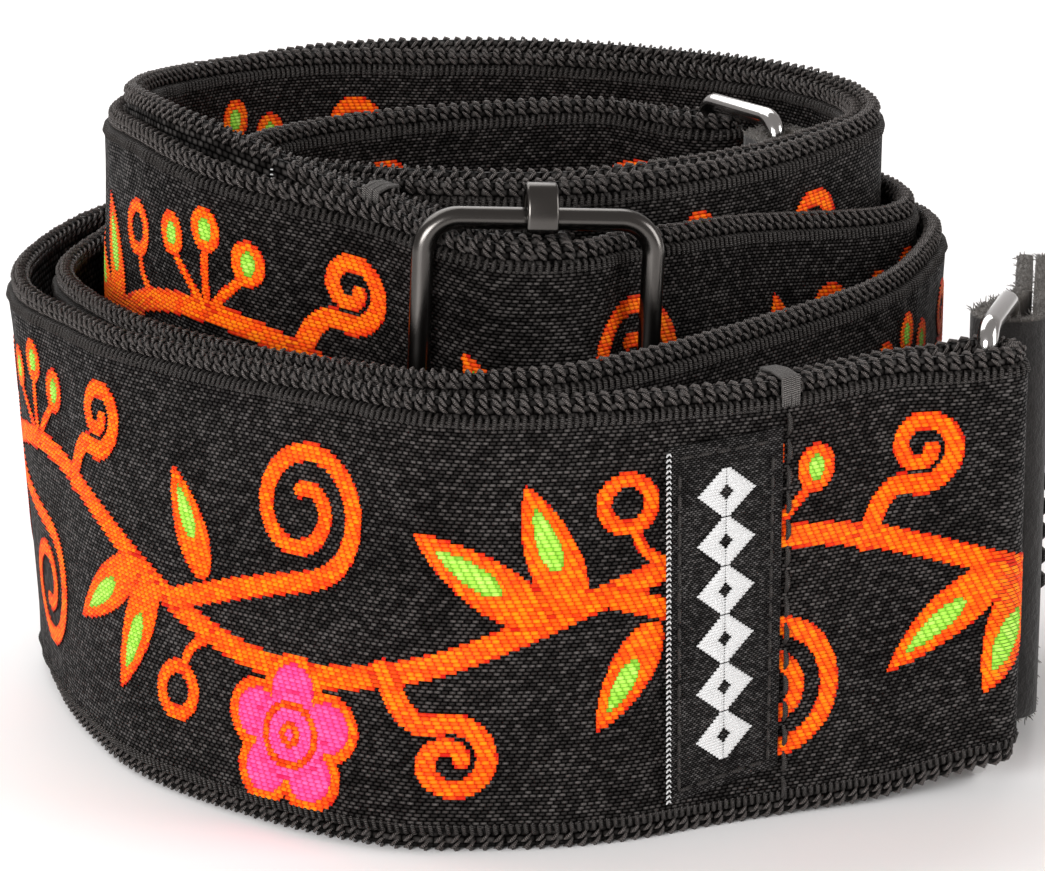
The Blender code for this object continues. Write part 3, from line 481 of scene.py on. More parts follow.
class Look:
    """A procedural material, with short ways to add its nodes."""

    def __init__(self, name, roughness, metallic=0.0, sheen=0.0):
        self.material = bpy.data.materials.new(name)
        self.material.use_nodes = True
        self.tree = self.material.node_tree
        self.shader = self.tree.nodes["Principled BSDF"]
        self.shader.inputs["Roughness"].default_value = roughness
        self.shader.inputs["Metallic"].default_value = metallic
        self.shader.inputs["Sheen Weight"].default_value = sheen
        self.shader.inputs["Sheen Roughness"].default_value = 0.5

    def plug(self, socket, value):
        if isinstance(value, bpy.types.NodeSocket):
            self.tree.links.new(value, socket)
        else:
            socket.default_value = value

    def node(self, kind, settings=None, **inputs):
        node = self.tree.nodes.new(kind)
        for key, value in (settings or {}).items():
            setattr(node, key, value)
        for key, value in inputs.items():
            self.plug(node.inputs[key.replace("_", " ")], value)
        return node

    def math(self, operation, *values):
        node = self.node("ShaderNodeMath", {"operation": operation})
        for socket, value in zip(node.inputs, values):
            self.plug(socket, value)
        return node.outputs[0]

    def uv(self):
        source = self.node("ShaderNodeUVMap", {"uv_map": "Cloth"})
        parts = self.node("ShaderNodeSeparateXYZ", Vector=source.outputs[0])
        return source.outputs[0], parts.outputs[0], parts.outputs[1]

    def noise(self, vector, scale, detail):
        node = self.node("ShaderNodeTexNoise", Vector=vector, Scale=scale, Detail=detail)
        return node.outputs[0]

    def place(self):
        return self.node("ShaderNodeTexCoord").outputs["Object"]

    def mix(self, share, first, second):
        node = self.node("ShaderNodeMix", {"data_type": "RGBA"})
        self.plug(node.inputs[0], share)
        for socket, value in zip(node.inputs[6:8], (first, second)):
            self.plug(socket, (*value, 1.0) if isinstance(value, tuple) else value)
        return node.outputs[2]

    def bump(self, height, distance, strength=1.0):
        node = self.node("ShaderNodeBump", Height=height, Distance=distance, Strength=strength)
        self.plug(self.shader.inputs["Normal"], node.outputs[0])

    def floats(self, u, v, length, height, stagger):
        """Rows of short threads: how high the surface is, and a random number for each thread."""
        rows = self.math("DIVIDE", v, height)
        row = self.math("FLOOR", rows)
        cells = self.math("ADD", self.math("DIVIDE", u, length),
                          self.math("MULTIPLY", row, stagger))
        cell = self.math("FLOOR", cells)
        across = self.math("SINE", self.math("MULTIPLY", self.math("FRACT", rows), math.pi))
        down = self.math("SINE", self.math("MULTIPLY", self.math("FRACT", cells), math.pi))
        both = self.math("MULTIPLY", self.math("POWER", across, 0.6),
                         self.math("POWER", down, 0.6))
        key = self.node("ShaderNodeCombineXYZ", X=cell, Y=row)
        speck = self.node("ShaderNodeTexWhiteNoise", Vector=key.outputs[0]).outputs[0]
        return both, speck


# Black woven cloth: near black in the gaps between threads, where painted shade falls, and a pale
# painted highlight on the thread tops, brighter on some threads at random.
def cloth_look(name, length, height, stagger, dark, light, depth):
    look = Look(name, 0.55)
    vector, u, v = look.uv()
    raised, speck = look.floats(u, v, length, height, stagger)
    fine = look.noise(vector, 9.0, 3.0)
    bright = look.math("ADD", 0.25, look.math("POWER", speck, 2.0))
    # Broad streaks of painted sheen that brighten the thread tops.
    sheen_streaks = look.math("ADD", 0.35, look.math("MULTIPLY", 1.3, look.noise(vector, 0.09, 3.0)))
    bright = look.math("MULTIPLY", bright, sheen_streaks)
    share = look.math("MULTIPLY", look.math("POWER", raised, 2.0), bright)
    look.plug(look.shader.inputs["Base Color"], look.mix(share, dark, light))
    look.plug(look.shader.inputs["Specular IOR Level"], look.math("MULTIPLY", share, 0.55))
    total = look.math("ADD", raised, look.math("MULTIPLY", fine, 0.7))
    look.bump(total, depth)
    return look.material


def thread_look(name, dark, light, roughness=0.6, sheen=0.0):
    """Spun thread, with its plies running slantwise round it. Its colour is darker in the grooves
    between plies, as painted shade, and lighter on their crests, which is partly the thread's own
    colour and partly a painted highlight.
    """
    look = Look(name, roughness, sheen=sheen)
    vector, u, v = look.uv()
    turns = look.math("ADD", look.math("MULTIPLY", u, 5.0), look.math("MULTIPLY", v, 2.0))
    ply = look.math("ADD", 0.5, look.math("MULTIPLY", 0.5, look.math(
        "SINE", look.math("MULTIPLY", turns, 2 * math.pi))))
    fine = look.noise(vector, 4.0, 2.0)
    share = look.math("MULTIPLY", ply, fine)
    # Painted shade in the ply grooves, and a painted highlight on the crests.
    look.plug(look.shader.inputs["Base Color"], look.mix(share, dark, light))
    look.plug(look.shader.inputs["Specular IOR Level"], share)
    look.bump(ply, 0.08 * MM, 0.7)
    return look.material


def float_look(name, rim, middle, bright):
    """A pattern thread: darker at its ends, where painted shade falls as it dips into the weave, and
    at the pattern's rim, with its own colour in the middle and a painted highlight there by a random
    amount.
    """
    look = Look(name, 0.6)
    look.shader.inputs["Specular IOR Level"].default_value = 0.15
    _, u, _ = look.uv()
    ends = look.math("ABSOLUTE", look.math("SUBTRACT", look.math("MULTIPLY", u, 2.0), 1.0))
    inner = look.math("SUBTRACT", 1.0, look.math("POWER", ends, 2.5))
    depth = look.node("ShaderNodeAttribute", {"attribute_name": "depth"}).outputs["Fac"]
    highlight_share = look.node("ShaderNodeAttribute", {"attribute_name": "highlight_share"}).outputs["Fac"]
    share = look.math("MULTIPLY", inner, depth)
    base = look.mix(share, rim, middle)
    # The bright tone is a painted highlight on the thread's middle, by a random amount for each
    # thread.
    highlight_amount = look.math("MULTIPLY", look.math("MULTIPLY", share, highlight_share), 0.8)
    look.plug(look.shader.inputs["Base Color"], look.mix(highlight_amount, base, bright))
    fibres = look.node("ShaderNodeTexNoise", Vector=look.place(), Scale=9000.0).outputs[0]
    look.bump(fibres, 0.05 * MM, 0.5)
    return look.material


def metal_look(name, colour, roughness):
    look = Look(name, roughness, metallic=1.0)
    place = look.place()
    worn = look.noise(place, 60.0, 4.0)
    streak = look.noise(place, 900.0, 2.0)
    dark = tuple(c * 0.8 for c in colour)
    look.plug(look.shader.inputs["Base Color"], look.mix(worn, colour, dark))
    spread = look.math("ADD", roughness * 0.8, look.math("MULTIPLY", worn, roughness * 0.5))
    look.plug(look.shader.inputs["Roughness"], spread)
    look.bump(streak, 0.01 * MM, 0.4)
    return look.material


def leather_look(name, flesh, grain, roughness, scale):
    """Leather: napped and grey on its flesh side and its cut edges, dark on its other side."""
    look = Look(name, roughness, sheen=0.15)
    place = look.place()
    pores = look.node("ShaderNodeTexVoronoi", Vector=place, Scale=scale).outputs[0]
    cloud = look.noise(place, 250.0, 4.0)
    nap = look.noise(place, 3500.0, 3.0)
    share = look.math("MULTIPLY", cloud, nap)
    outer = look.node("ShaderNodeClamp", Value=look.math("SUBTRACT", look.uv()[2], 1.0)).outputs[0]
    napped, smooth = look.mix(share, *flesh), look.mix(share, *grain)
    look.plug(look.shader.inputs["Base Color"], look.mix(outer, napped, smooth))
    look.shader.inputs["Specular IOR Level"].default_value = 0.2
    look.bump(look.math("ADD", pores, nap), 0.15 * MM, 0.8)
    return look.material


# The woven pattern: a generic flowering vine, drawn flat as (along the strap, height) in
# millimetres from the outer ring's fold, and repeated.

ORANGE, GREEN, PINK = 1, 2, 3


def line(points, start, end=None):
    spine = smooth_curve(points, 0.35)
    widths = np.linspace(start, start if end is None else end, len(spine))
    return spine, widths / 2, ORANGE


def blob(place, radii, colour=ORANGE):
    """An oval, as one spine point with a stretched reach."""
    return np.array([place]), np.array([1.0]), colour, radii


def ring(place, radius, width):
    angle = np.linspace(0, 2 * math.pi, 60)
    spine = np.array(place) + radius * np.stack([np.cos(angle), np.sin(angle)], axis=1)
    return spine, np.full(60, width / 2), ORANGE


def leaf(base, tip, width, colour=ORANGE):
    spine = np.linspace(base, tip, 40)
    share = np.linspace(0, 1, 40)
    return spine, width / 2 * np.sin(math.pi * share**0.7) ** 0.8 + 0.15, colour


def bud(place, size, stem):
    return [line(stem, 1.3), blob(place, (size, size * 1.15)),
            blob(place, (size * 0.45, size * 0.6), GREEN)]


PATTERN_PERIOD = 110.0
PATTERN_MIDDLE = 25.4
STEM_SWAY = 7.5
FLOWER_PLACE = (82.5, 10.8)
PETALS = 5


def scroll(lead, centre, size, start, turns):
    """A stroke that comes in from the lead point and winds up into a spiral."""
    share = np.linspace(0.0, 1.0, 14)
    angle = math.radians(start) + 2 * math.pi * turns * share
    radius = size * (1.0 - 0.75 * share)
    points = np.array(centre) + radius[:, None] * np.stack([np.cos(angle), np.sin(angle)], axis=1)
    return line([lead, *points], 2.7, 1.9)


def flower(place, size):
    """A round flower: orange petals with pink ones on them, and rings in its middle."""
    shapes = []
    for reach, colour in ((1.0, ORANGE), (0.7, PINK)):
        for k in range(PETALS):
            angle = 2 * math.pi * (k + 0.25) / PETALS
            petal = np.array(place) + 0.62 * size * np.array([math.cos(angle), math.sin(angle)])
            shapes.append(blob(petal, (0.5 * size * reach, 0.5 * size * reach), colour))
    shapes.append(blob(place, (0.6 * size, 0.6 * size), PINK))
    return shapes + [ring(place, 0.42 * size, 0.9), ring(place, 0.12 * size, 0.9)]


def sprig(shift, sign):
    """Half a repeat: a scroll on one side of the stem, and leaves and a ring on the other."""

    def at(x, y):
        return x + shift, PATTERN_MIDDLE + sign * (y - PATTERN_MIDDLE)

    shapes = [
        scroll(at(47.0, 28.4), at(28.0, 14.8), 8.4, 85.0 * sign, 1.55 * sign),
        scroll(at(16.0, 30.8), at(9.0, 40.4), 4.6, -60.0 * sign, -1.3 * sign),
        ring(at(45.0, 38.6), 2.7, 1.8),
        line([at(40.0, 31.4), at(43.2, 33.4), at(44.4, 36.0)], 1.5, 1.2),
    ]
    for base, tip, width in (((51.0, 27.0), (56.0, 41.0), 5.6), ((54.0, 26.0), (68.0, 35.6), 5.6),
                             ((42.0, 24.6), (48.5, 13.5), 4.8)):
        base, tip = np.array(at(*base)), np.array(at(*tip))
        shapes.append(leaf(base, tip, width))
        inner = base + 0.35 * (tip - base), base + 0.82 * (tip - base)
        shapes.append(leaf(*inner, 0.4 * width, GREEN))
    return shapes


def vine():
    """One repeat of the pattern: a waving stem with a sprig on each side, three buds, a flower."""
    along = np.linspace(0.0, PATTERN_PERIOD, 25)
    high = PATTERN_MIDDLE + STEM_SWAY * np.sin(2 * math.pi * along / PATTERN_PERIOD)
    shapes = [line(list(zip(along, high)), 2.8)]
    shapes += sprig(0.0, 1) + sprig(PATTERN_PERIOD / 2, -1)
    for x, y in ((22.5, 40.2), (29.0, 42.6), (35.5, 40.4)):
        shapes += bud((x, y), 2.4, [(x, y - 1.5), ((x + 29.0) / 2, 36.0), (28.5, 32.8)])
    return shapes + flower(FLOWER_PLACE, 8.2)


PATTERN = vine()


def draw_shape(shape, shift, rows, columns, colour, depth):
    """Paints one shape, and notes how deep each of its spots lies inside it."""
    spine, reach, paint = shape[:3]
    room = reach.max() * (max(shape[3]) if len(shape) > 3 else 1.0)
    low, high = spine.min(axis=0) - room, spine.max(axis=0) + room
    across = np.flatnonzero((columns >= low[0] + shift) & (columns <= high[0] + shift))
    up = np.flatnonzero((rows >= low[1]) & (rows <= high[1]))
    if not len(across) or not len(up):
        return
    x = columns[across][None, :, None] - shift - spine[:, 0]
    y = rows[up][:, None, None] - spine[:, 1]
    if len(shape) > 3:
        radii = shape[3]
        inside = (1 - np.hypot(x / radii[0], y / radii[1])) * min(radii)
    else:
        inside = reach - np.hypot(x, y)
    inside = inside.max(axis=2)
    window = np.ix_(up, across)
    hit = inside > 0
    colour[window] = np.where(hit, paint, colour[window])
    depth[window] = np.where(hit, inside, depth[window])


def draw_pattern(rows, places):
    """Which colour each spot of the ribbon has, and how deep it lies inside its shape."""
    repeat = np.arange(0.0, PATTERN_PERIOD, places[1] - places[0])
    colour = np.zeros((len(rows), len(repeat)), dtype=int)
    depth = np.zeros(colour.shape)
    for shape in PATTERN:
        for shift in (-PATTERN_PERIOD, 0.0, PATTERN_PERIOD):
            draw_shape(shape, shift, rows, repeat, colour, depth)
    index = np.floor(np.mod(places, PATTERN_PERIOD) / repeat[1]).astype(int)
    index = np.clip(index, 0, len(repeat) - 1)
    return colour[:, index], depth[:, index]


def pattern_threads(strap, fold, looks):
    """The pattern's coloured threads: for each row of the weave, short raised lengths."""
    fine = FLOAT_LENGTH / 4
    rows = np.arange(RIBBON_LOW + 0.9 * MM, RIBBON_HIGH - 0.9 * MM, FLOAT_ROW)
    places = np.arange(3.0 * MM, strap.length - 3.0 * MM, fine)
    colour, depth = draw_pattern(rows / MM, (places - fold) / MM)
    colour[:, [0, -1]] = 0
    for paint, name in ((ORANGE, "pattern_orange"), (GREEN, "pattern_green"), (PINK, "pattern_pink")):
        lengths = []
        for j, row in enumerate(rows):
            inside = colour[j] == paint
            cut = (np.arange(len(places)) + 3 * j) % 4 == 0
            begins = np.flatnonzero(inside & (cut | ~np.roll(inside, 1)))
            ends = np.flatnonzero(inside & (np.roll(cut, -1) | ~np.roll(inside, -1)))
            middle = (begins + ends) // 2
            lengths.append(np.stack([places[begins], places[ends] + fine,
                                     np.full(len(begins), row), depth[j, middle]], axis=1))
        lengths = np.concatenate(lengths)
        make_floats(strap, name, lengths, looks[paint])


def make_floats(strap, name, lengths, look):
    first, last, row, depth = lengths.T
    half = FLOAT_ROW / 2
    section = ((-half * 0.95, 0.0), (-half * 0.4, FLOAT_HEIGHT), (half * 0.4, FLOAT_HEIGHT),
               (half * 0.95, 0.0))
    points, uv = [], []
    for share, along in ((0.0, first), (1.0, last)):
        for k, (rise, out) in enumerate(section):
            high = row + rise
            points.append(strap.spots(along, high, RIBBON_OUT + pucker(along, high) + out))
            uv.append(np.broadcast_to([share, k / 3], (len(row), 2)))
    points, uv = np.stack(points, axis=1), np.stack(uv, axis=1)
    base = 8 * np.arange(len(row))[:, None, None]
    quad = np.array([[k, k + 4, k + 5, k + 1] for k in range(3)])[:, ::-1]
    item = mesh_object(name, points.reshape(-1, 3), (base + quad).reshape(-1, 4),
                       uv.reshape(-1, 2), look, "strap", smooth=False)
    inner = np.repeat(np.clip(depth / RIM_DEPTH, 0.0, 1.0), 8)
    # A random amount of painted highlight for each pattern thread.
    highlight_share = np.repeat(random.random(len(row)), 8)
    for key, values in (("depth", inner), ("highlight_share", highlight_share)):
        layer = item.data.attributes.new(key, "FLOAT", "POINT")
        layer.data.foreach_set("value", values.astype(np.float32))
    return item


# The strap's woven parts.


# The five threads of one link of the edge's chain, as (along, from the edge, out) in millimetres:
# two on each face of the webbing and one over the edge. The fit draws them in to the pitch.
CHAIN_LOOPS = (
    ((0.0, 1.95, 0.70), (0.45, 1.7, 1.0), (0.95, 1.3, 1.0), (1.35, 1.05, 0.72)),
    ((1.3, 0.3, 0.60), (0.85, 0.5, 1.0), (0.4, 0.9, 1.05), (0.0, 1.2, 0.75)),
    ((0.0, 1.95, -0.70), (0.45, 1.7, -0.95), (0.95, 1.3, -0.95), (1.35, 1.05, -0.72)),
    ((1.3, 0.3, -0.60), (0.85, 0.5, -0.95), (0.4, 0.9, -1.0), (0.0, 1.2, -0.75)),
    ((0.2, 0.55, 0.72), (0.55, 0.1, 0.45), (0.9, 0.1, -0.4), (1.3, 0.55, -0.7)),
)
CHAIN_FIT = (0.75, 1.0, 0.95)
CHAIN_RADII = np.array([0.09, 0.215, 0.215, 0.09]) * MM


def make_webbing(strap, look, chain_look):
    low, high = CORE_EDGE, WEBBING_WIDTH - CORE_EDGE
    rise = np.linspace(low, high, 12)
    tip, thin = CORE_TIP
    profile = [(value, CORE_HALF) for value in rise]
    profile += [(high + tip, thin), (high + tip, -thin)]
    profile += [(value, -CORE_HALF) for value in rise[::-1]]
    profile += [(low - tip, -thin), (low - tip, thin)]
    webbing = band("strap_webbing", strap, 0.0, strap.length, profile, look)
    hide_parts("webbing")
    chains = []
    for upper, name in ((True, "selvage_upper"), (False, "selvage_lower")):
        starts = np.arange(0.4 * MM, strap.length - 2.0 * MM, CHAIN_PITCH)
        centres, sides = [], []
        for shape in np.array(CHAIN_LOOPS):
            middle, side = threads_on(strap, starts, shape * CHAIN_FIT, upper)
            centres.append(middle)
            sides.append(side)
        centres = np.concatenate(centres)
        centres += random.normal(0.0, 0.03 * MM, (len(centres), 1, 3))
        chain = yarns(name, centres, np.concatenate(sides), CHAIN_RADII, chain_look, "strap",
                      sides=5)
        chains.append(chain)
    return webbing, chains


def make_ribbon(strap, look, rib_look):
    rise = np.linspace(RIBBON_LOW + 0.5 * MM, RIBBON_HIGH - 0.5 * MM, 26)
    profile = [(value, RIBBON_OUT) for value in rise]
    profile += [(RIBBON_HIGH, RIBBON_OUT - 0.3 * MM), (RIBBON_HIGH, 0.78 * MM)]
    profile += [(RIBBON_LOW, 0.78 * MM), (RIBBON_LOW, RIBBON_OUT - 0.3 * MM)]
    start, end = RIBBON_INSET, strap.length - RIBBON_INSET
    ribbon = band("ribbon", strap, start, end, profile, look, pucker)
    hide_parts("jacquard_ribbon")
    ribs = []
    starts = np.arange(start, end - 1.0 * MM, RIB_PITCH)
    for name, edge, sign, node in (("ribbon_ribs_upper", RIBBON_HIGH, 1, "ribbon_seam_upper"),
                                   ("ribbon_ribs_lower", RIBBON_LOW, -1, "ribbon_seam_lower")):
        heights = edge + sign * np.array([0.35, 0.1, -0.8, -1.0]) * MM
        outs = np.array([0.8, 1.25, 1.5, 1.3]) * MM
        sway = np.array([0.0, 0.05, 0.2, 0.25]) * MM
        places = starts[:, None] + sway
        raised = outs + pucker(places, heights) * (outs > 1.2 * MM)
        centres = strap.spots(places, heights, raised)
        rib = yarns(name, centres, strap.outward(places), np.array([0.12, 0.26, 0.26, 0.1]) * MM,
                    rib_look, "strap", sides=5)
        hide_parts(node)
        ribs.append(rib)
    return ribbon, ribs


def stitch_row(strap, name, along, look, node):
    """A row of stitches up the strap at one distance along it."""
    starts = np.arange(SEAM_LOW, SEAM_HIGH - STITCH_PITCH * 0.8, STITCH_PITCH)
    rise = np.array([0.0, 0.25, 0.55, 0.8]) * STITCH_PITCH
    heights = starts[:, None] + rise
    lift = np.array([-0.25, 0.25, 0.25, -0.25]) * MM
    out = RIBBON_OUT + 0.15 * MM + lift
    centres = strap.spots(np.full_like(heights, along), heights, out)
    item = yarns(name, centres, strap.outward(np.full_like(heights, along)),
                 np.array([0.2, 0.3, 0.3, 0.2]) * MM, look, "strap")
    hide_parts(node)
    return item


def make_bartack(strap, name, node, along, faces, edge, sign, reach, look):
    """Close stitches wrapped over the edge of two sewn strands, from one outer face to the other."""
    places = along + np.linspace(-0.95, 0.95, 8) * MM
    places = places + random.normal(0.0, 0.05 * MM, 8)
    low, high = faces[0] - 0.25 * MM, faces[1] + 0.25 * MM
    corners = [(-reach[0], low), (-reach[0] * 0.5, low), (0.15 * MM, low + 0.1 * MM),
               (0.4 * MM, (low + high) / 2), (0.15 * MM, high - 0.1 * MM),
               (-reach[1] * 0.5, high), (-reach[1], high)]
    rise, out = np.array(corners).T
    heights = edge + sign * rise
    centres = strap.spots(np.broadcast_to(places[:, None], (8, 7)), heights, out)
    side = strap.outward(np.broadcast_to(places[:, None], (8, 7)))
    side = np.cross(side, (0.0, 0.0, 1.0))
    item = yarns(name, centres, side, np.array([0.1, 0.2, 0.22, 0.22, 0.22, 0.2, 0.1]) * MM,
                 look, "strap", sides=8)
    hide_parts(node)
    return item


def make_label(strap, fold, look, border_look, mark_look, white_look):
    start = fold + LABEL_DISTANCE
    end = start + LABEL_WIDTH
    base = RIBBON_OUT + 0.12 * MM
    corners = np.array(LABEL_CORNERS) * MM
    along = strap.columns(start, end)
    share = (along - start) / LABEL_WIDTH
    rise = np.linspace(0, 1, 30)
    bottom = corners[0, 0] + (corners[1, 0] - corners[0, 0]) * share[:, None]
    top_edge = corners[0, 1] + (corners[1, 1] - corners[0, 1]) * share[:, None]
    heights = bottom + rise * (top_edge - bottom)
    swell = 0.25 * MM * np.sin(math.pi * share)[:, None] * np.sin(5 * rise) ** 2
    out = base + LABEL_THICKNESS + swell
    top = strap.spots(along[:, None], heights, out)
    under = strap.spots(along[:, None], heights, base + 0 * swell)
    ring_rows = np.concatenate([top, under[:, ::-1], top[:, :1]], axis=1)
    caps = np.concatenate([under, under[:, ::-1], under[:, :1]], axis=1)
    points = np.concatenate([caps[:1], ring_rows, caps[-1:]])
    count = points.shape[1]
    spread = np.concatenate([along[:1], along, along[-1:]])
    girth = np.concatenate([rise, rise[::-1] + 2.0, rise[:1]]) * LABEL_HEIGHT
    uv = np.stack(np.broadcast_arrays(spread[:, None] / MM, girth / MM), axis=-1)
    label = mesh_object("label_cloth", points.reshape(-1, 3),
                        grid_faces(len(spread), count)[:, ::-1], uv.reshape(-1, 2), look,
                        "strap")
    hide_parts("label")
    face = base + LABEL_THICKNESS + 0.28 * MM

    def spot(across, up):
        """A point on the label from its left edge and its bottom, in millimetres."""
        place = end - across * MM
        share = (place - start) / LABEL_WIDTH
        ends = corners[0] + (corners[1] - corners[0]) * share[..., None]
        height = ends[..., 0] + (ends[..., 1] - ends[..., 0]) * up * MM / LABEL_HEIGHT
        return strap.spots(place, height, face)

    stitches = []
    inset, pitch = 1.3, 2.2
    width, height = LABEL_WIDTH / MM, LABEL_HEIGHT / MM
    for k in np.arange(inset, height - inset - pitch * 0.7, pitch):
        for across in (inset, width - inset):
            stitches.append([(across, k + t * pitch) for t in (0.0, 0.2, 0.55, 0.75)])
    for k in np.arange(inset, width - inset - pitch * 0.7, pitch):
        for up in (inset, height - inset):
            stitches.append([(k + t * pitch, up) for t in (0.0, 0.2, 0.55, 0.75)])
    flat = np.array(stitches)
    centres = spot(flat[..., 0], flat[..., 1])
    side = strap.outward(end - flat[..., 0] * MM)
    border = yarns("label_stitches", centres, side, np.array([0.1, 0.22, 0.22, 0.1]) * MM,
                   border_look, "strap")
    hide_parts("label_seam")
    # The mark: a column of broad woven lozenges, each with a gap in its middle.
    threads = []
    for k in range(6):
        middle = 6.2 + k * 5.8
        for row in np.arange(-2.64, 2.65, 0.33):
            reach = 3.5 * (1 - abs(row) / 3.2)
            gap = 0.8 * max(0.0, 1 - abs(row) / 0.9)
            for sign in (-1, 1):
                ends = (6.9 + sign * gap, 6.9 + sign * reach)
                threads.append([(ends[0] + (ends[1] - ends[0]) * t, middle + row)
                                for t in (0.0, 0.1, 0.9, 1.0)])
    flat = np.array(threads)
    centres = spot(flat[..., 0], flat[..., 1])
    side = strap.outward(end - flat[..., 0] * MM)
    mark = yarns("label_mark", centres, side, np.array([0.08, 0.2, 0.2, 0.08]) * MM, mark_look,
                 "strap", sides=5)
    ups = np.arange(0.2, height - 0.3, 0.62)
    flat = np.array([[(-0.28, u), (-0.1, u + 0.25), (0.12, u + 0.3), (0.3, u)] for u in ups])
    centres = spot(flat[..., 0], flat[..., 1])
    side = strap.outward(end - flat[..., 0] * MM)
    edge = yarns("label_selvage", centres, side, np.array([0.07, 0.13, 0.13, 0.07]) * MM,
                 white_look, "strap", sides=5)
    return [label, border, mark, edge]


def frayed_ends(strap, look):
    """Loose warp threads at the webbing's two cut ends."""
    centres, sides = [], []
    for start, sign in ((0.0, -1), (strap.length, 1)):
        count = 90
        heights = random.uniform(0.4, 50.2, count) * MM
        outs = random.uniform(-0.6, 0.7, count) * MM
        reach = random.uniform(0.5, 1.8, count) * MM
        tip = strap.spots(np.full(count, start), heights, outs)
        heading = np.cross(strap.outward(np.full(count, start)), (0, 0, 1.0)) * -sign
        bend = random.normal(0.0, 0.35, (count, 3)) * reach[:, None]
        for k in range(count):
            steps = (-0.3, 0.3, 0.7, 1.0)
            centres.append([tip[k] + heading[k] * reach[k] * t + bend[k] * t * t for t in steps])
            sides.append(strap.outward(np.full(4, start)))
    return yarns("cut_end_threads", np.array(centres), np.array(sides),
                 np.array([0.1, 0.1, 0.08, 0.04]) * MM, look, "strap", sides=5)


# Metal parts.


def rounded_rectangle(half_width, half_height, corner, segments):
    points = []
    for quarter, (sx, sy) in enumerate(((1, 1), (-1, 1), (-1, -1), (1, -1))):
        cx, cy = sx * (half_width - corner), sy * (half_height - corner)
        for k in range(segments + 1):
            angle = math.pi / 2 * (quarter + k / segments)
            points.append((cx + corner * math.cos(angle), cy + corner * math.sin(angle)))
    return np.array(points)


def wire_loop(name, outline, wire, place, along, up, look, body, node):
    """A closed round wire on a flat outline in the plane of two unit vectors."""
    sides = 32
    across = np.cross(along, up)
    heading = np.roll(outline, -1, axis=0) - np.roll(outline, 1, axis=0)
    heading /= np.linalg.norm(heading, axis=1, keepdims=True)
    outward = heading[:, 1:] * along - heading[:, :1] * up
    centres = place + outline[:, :1] * along + outline[:, 1:] * up
    angle = 2 * math.pi * np.arange(sides) / sides
    reach = (np.cos(angle)[None, :, None] * outward[:, None]
             + np.sin(angle)[None, :, None] * across)
    points = centres[:, None] + reach * wire / 2
    index = np.arange(len(outline) * sides).reshape(len(outline), sides)
    beyond, turned = np.roll(index, -1, axis=0), np.roll(index, -1, axis=1)
    faces = np.stack([index, beyond, np.roll(beyond, -1, axis=1), turned], axis=-1)[..., ::-1]
    uv = np.stack(np.broadcast_arrays(np.arange(len(outline))[:, None] * 1.0, angle), axis=-1)
    item = mesh_object(name, points.reshape(-1, 3), faces.reshape(-1, 4), uv.reshape(-1, 2),
                       look, body)
    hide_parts(node)
    return item


def make_ring(name, pivot, heading, look):
    along = np.array([math.cos(heading), math.sin(heading), 0.0])
    half_height = WEBBING_WIDTH / 2 - LOOP_PINCH + CLEARANCE + RING_WIRE / 2
    outline = rounded_rectangle(RING_DEPTH / 2, half_height, RING_CORNER, 10)
    centre = pivot + along * RING_DEPTH / 2
    wire_loop(name + "_wire", outline, RING_WIRE, centre, along, np.array([0, 0, 1.0]), look,
              name, name)
    return pivot + along * RING_DEPTH


def make_slider(middle_height, look):
    """The slider's frame and its flat centre bar, whose ends curl round the frame."""
    flat = np.array([math.cos(SLIDER_TURN), math.sin(SLIDER_TURN), 0.0])
    rise = np.array([0.0, 0.0, 1.0])
    along = flat * math.cos(SLIDER_LEAN) - rise * math.sin(SLIDER_LEAN)
    up = flat * math.sin(SLIDER_LEAN) + rise * math.cos(SLIDER_LEAN)
    back = np.cross(up, along)
    spot = SLIDER_PLACE - ROLL_CENTRE
    place = np.array([spot.x, spot.y, middle_height])
    half_height = (SLIDER_OPENING + SLIDER_WIRE) / 2
    outline = rounded_rectangle(SLIDER_HALF_WIDTH, half_height, SLIDER_CORNER, 12)
    wire_loop("slider_wire", outline, SLIDER_WIRE, place, along, up, look, "slider_frame",
              "slider_frame")

    angles = BAR_CURL * (1 - np.linspace(0, 1, 28))
    rise_by = BAR_BACK * np.where(angles > 0, 1.75, 1.0)
    curl = np.stack([BAR_BACK * np.cos(angles), half_height + rise_by * np.sin(angles)], axis=1)
    middle = np.concatenate([curl, (curl * (1, -1))[::-1]])
    heading = np.gradient(middle, axis=0)
    heading /= np.linalg.norm(heading, axis=1, keepdims=True)
    normal = np.stack([-heading[:, 1], heading[:, 0]], axis=1)
    section = rounded_rectangle(BAR_WIDTH / 2, BAR_THICKNESS / 2, 0.35 * MM, 4)
    taper = np.ones(len(middle))
    taper[[0, -1]] = 0.02
    reach = section[None] * taper[:, None, None]
    plane = middle[:, None] + normal[:, None] * reach[..., 1:]
    points = place + plane[..., :1] * back + plane[..., 1:] * up + reach[..., :1] * along
    index = np.arange(points.shape[0] * points.shape[1]).reshape(points.shape[:2])
    turned = np.roll(index, -1, axis=1)
    faces = np.stack([index[:-1], index[1:], turned[1:], turned[:-1]], axis=-1).reshape(-1, 4)
    uv = np.zeros((points.shape[0] * points.shape[1], 2))
    bar = mesh_object("slider_bar", points.reshape(-1, 3), faces, uv, look, "centre_bar")
    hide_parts("slider_centre_bar")


# Leather tabs.


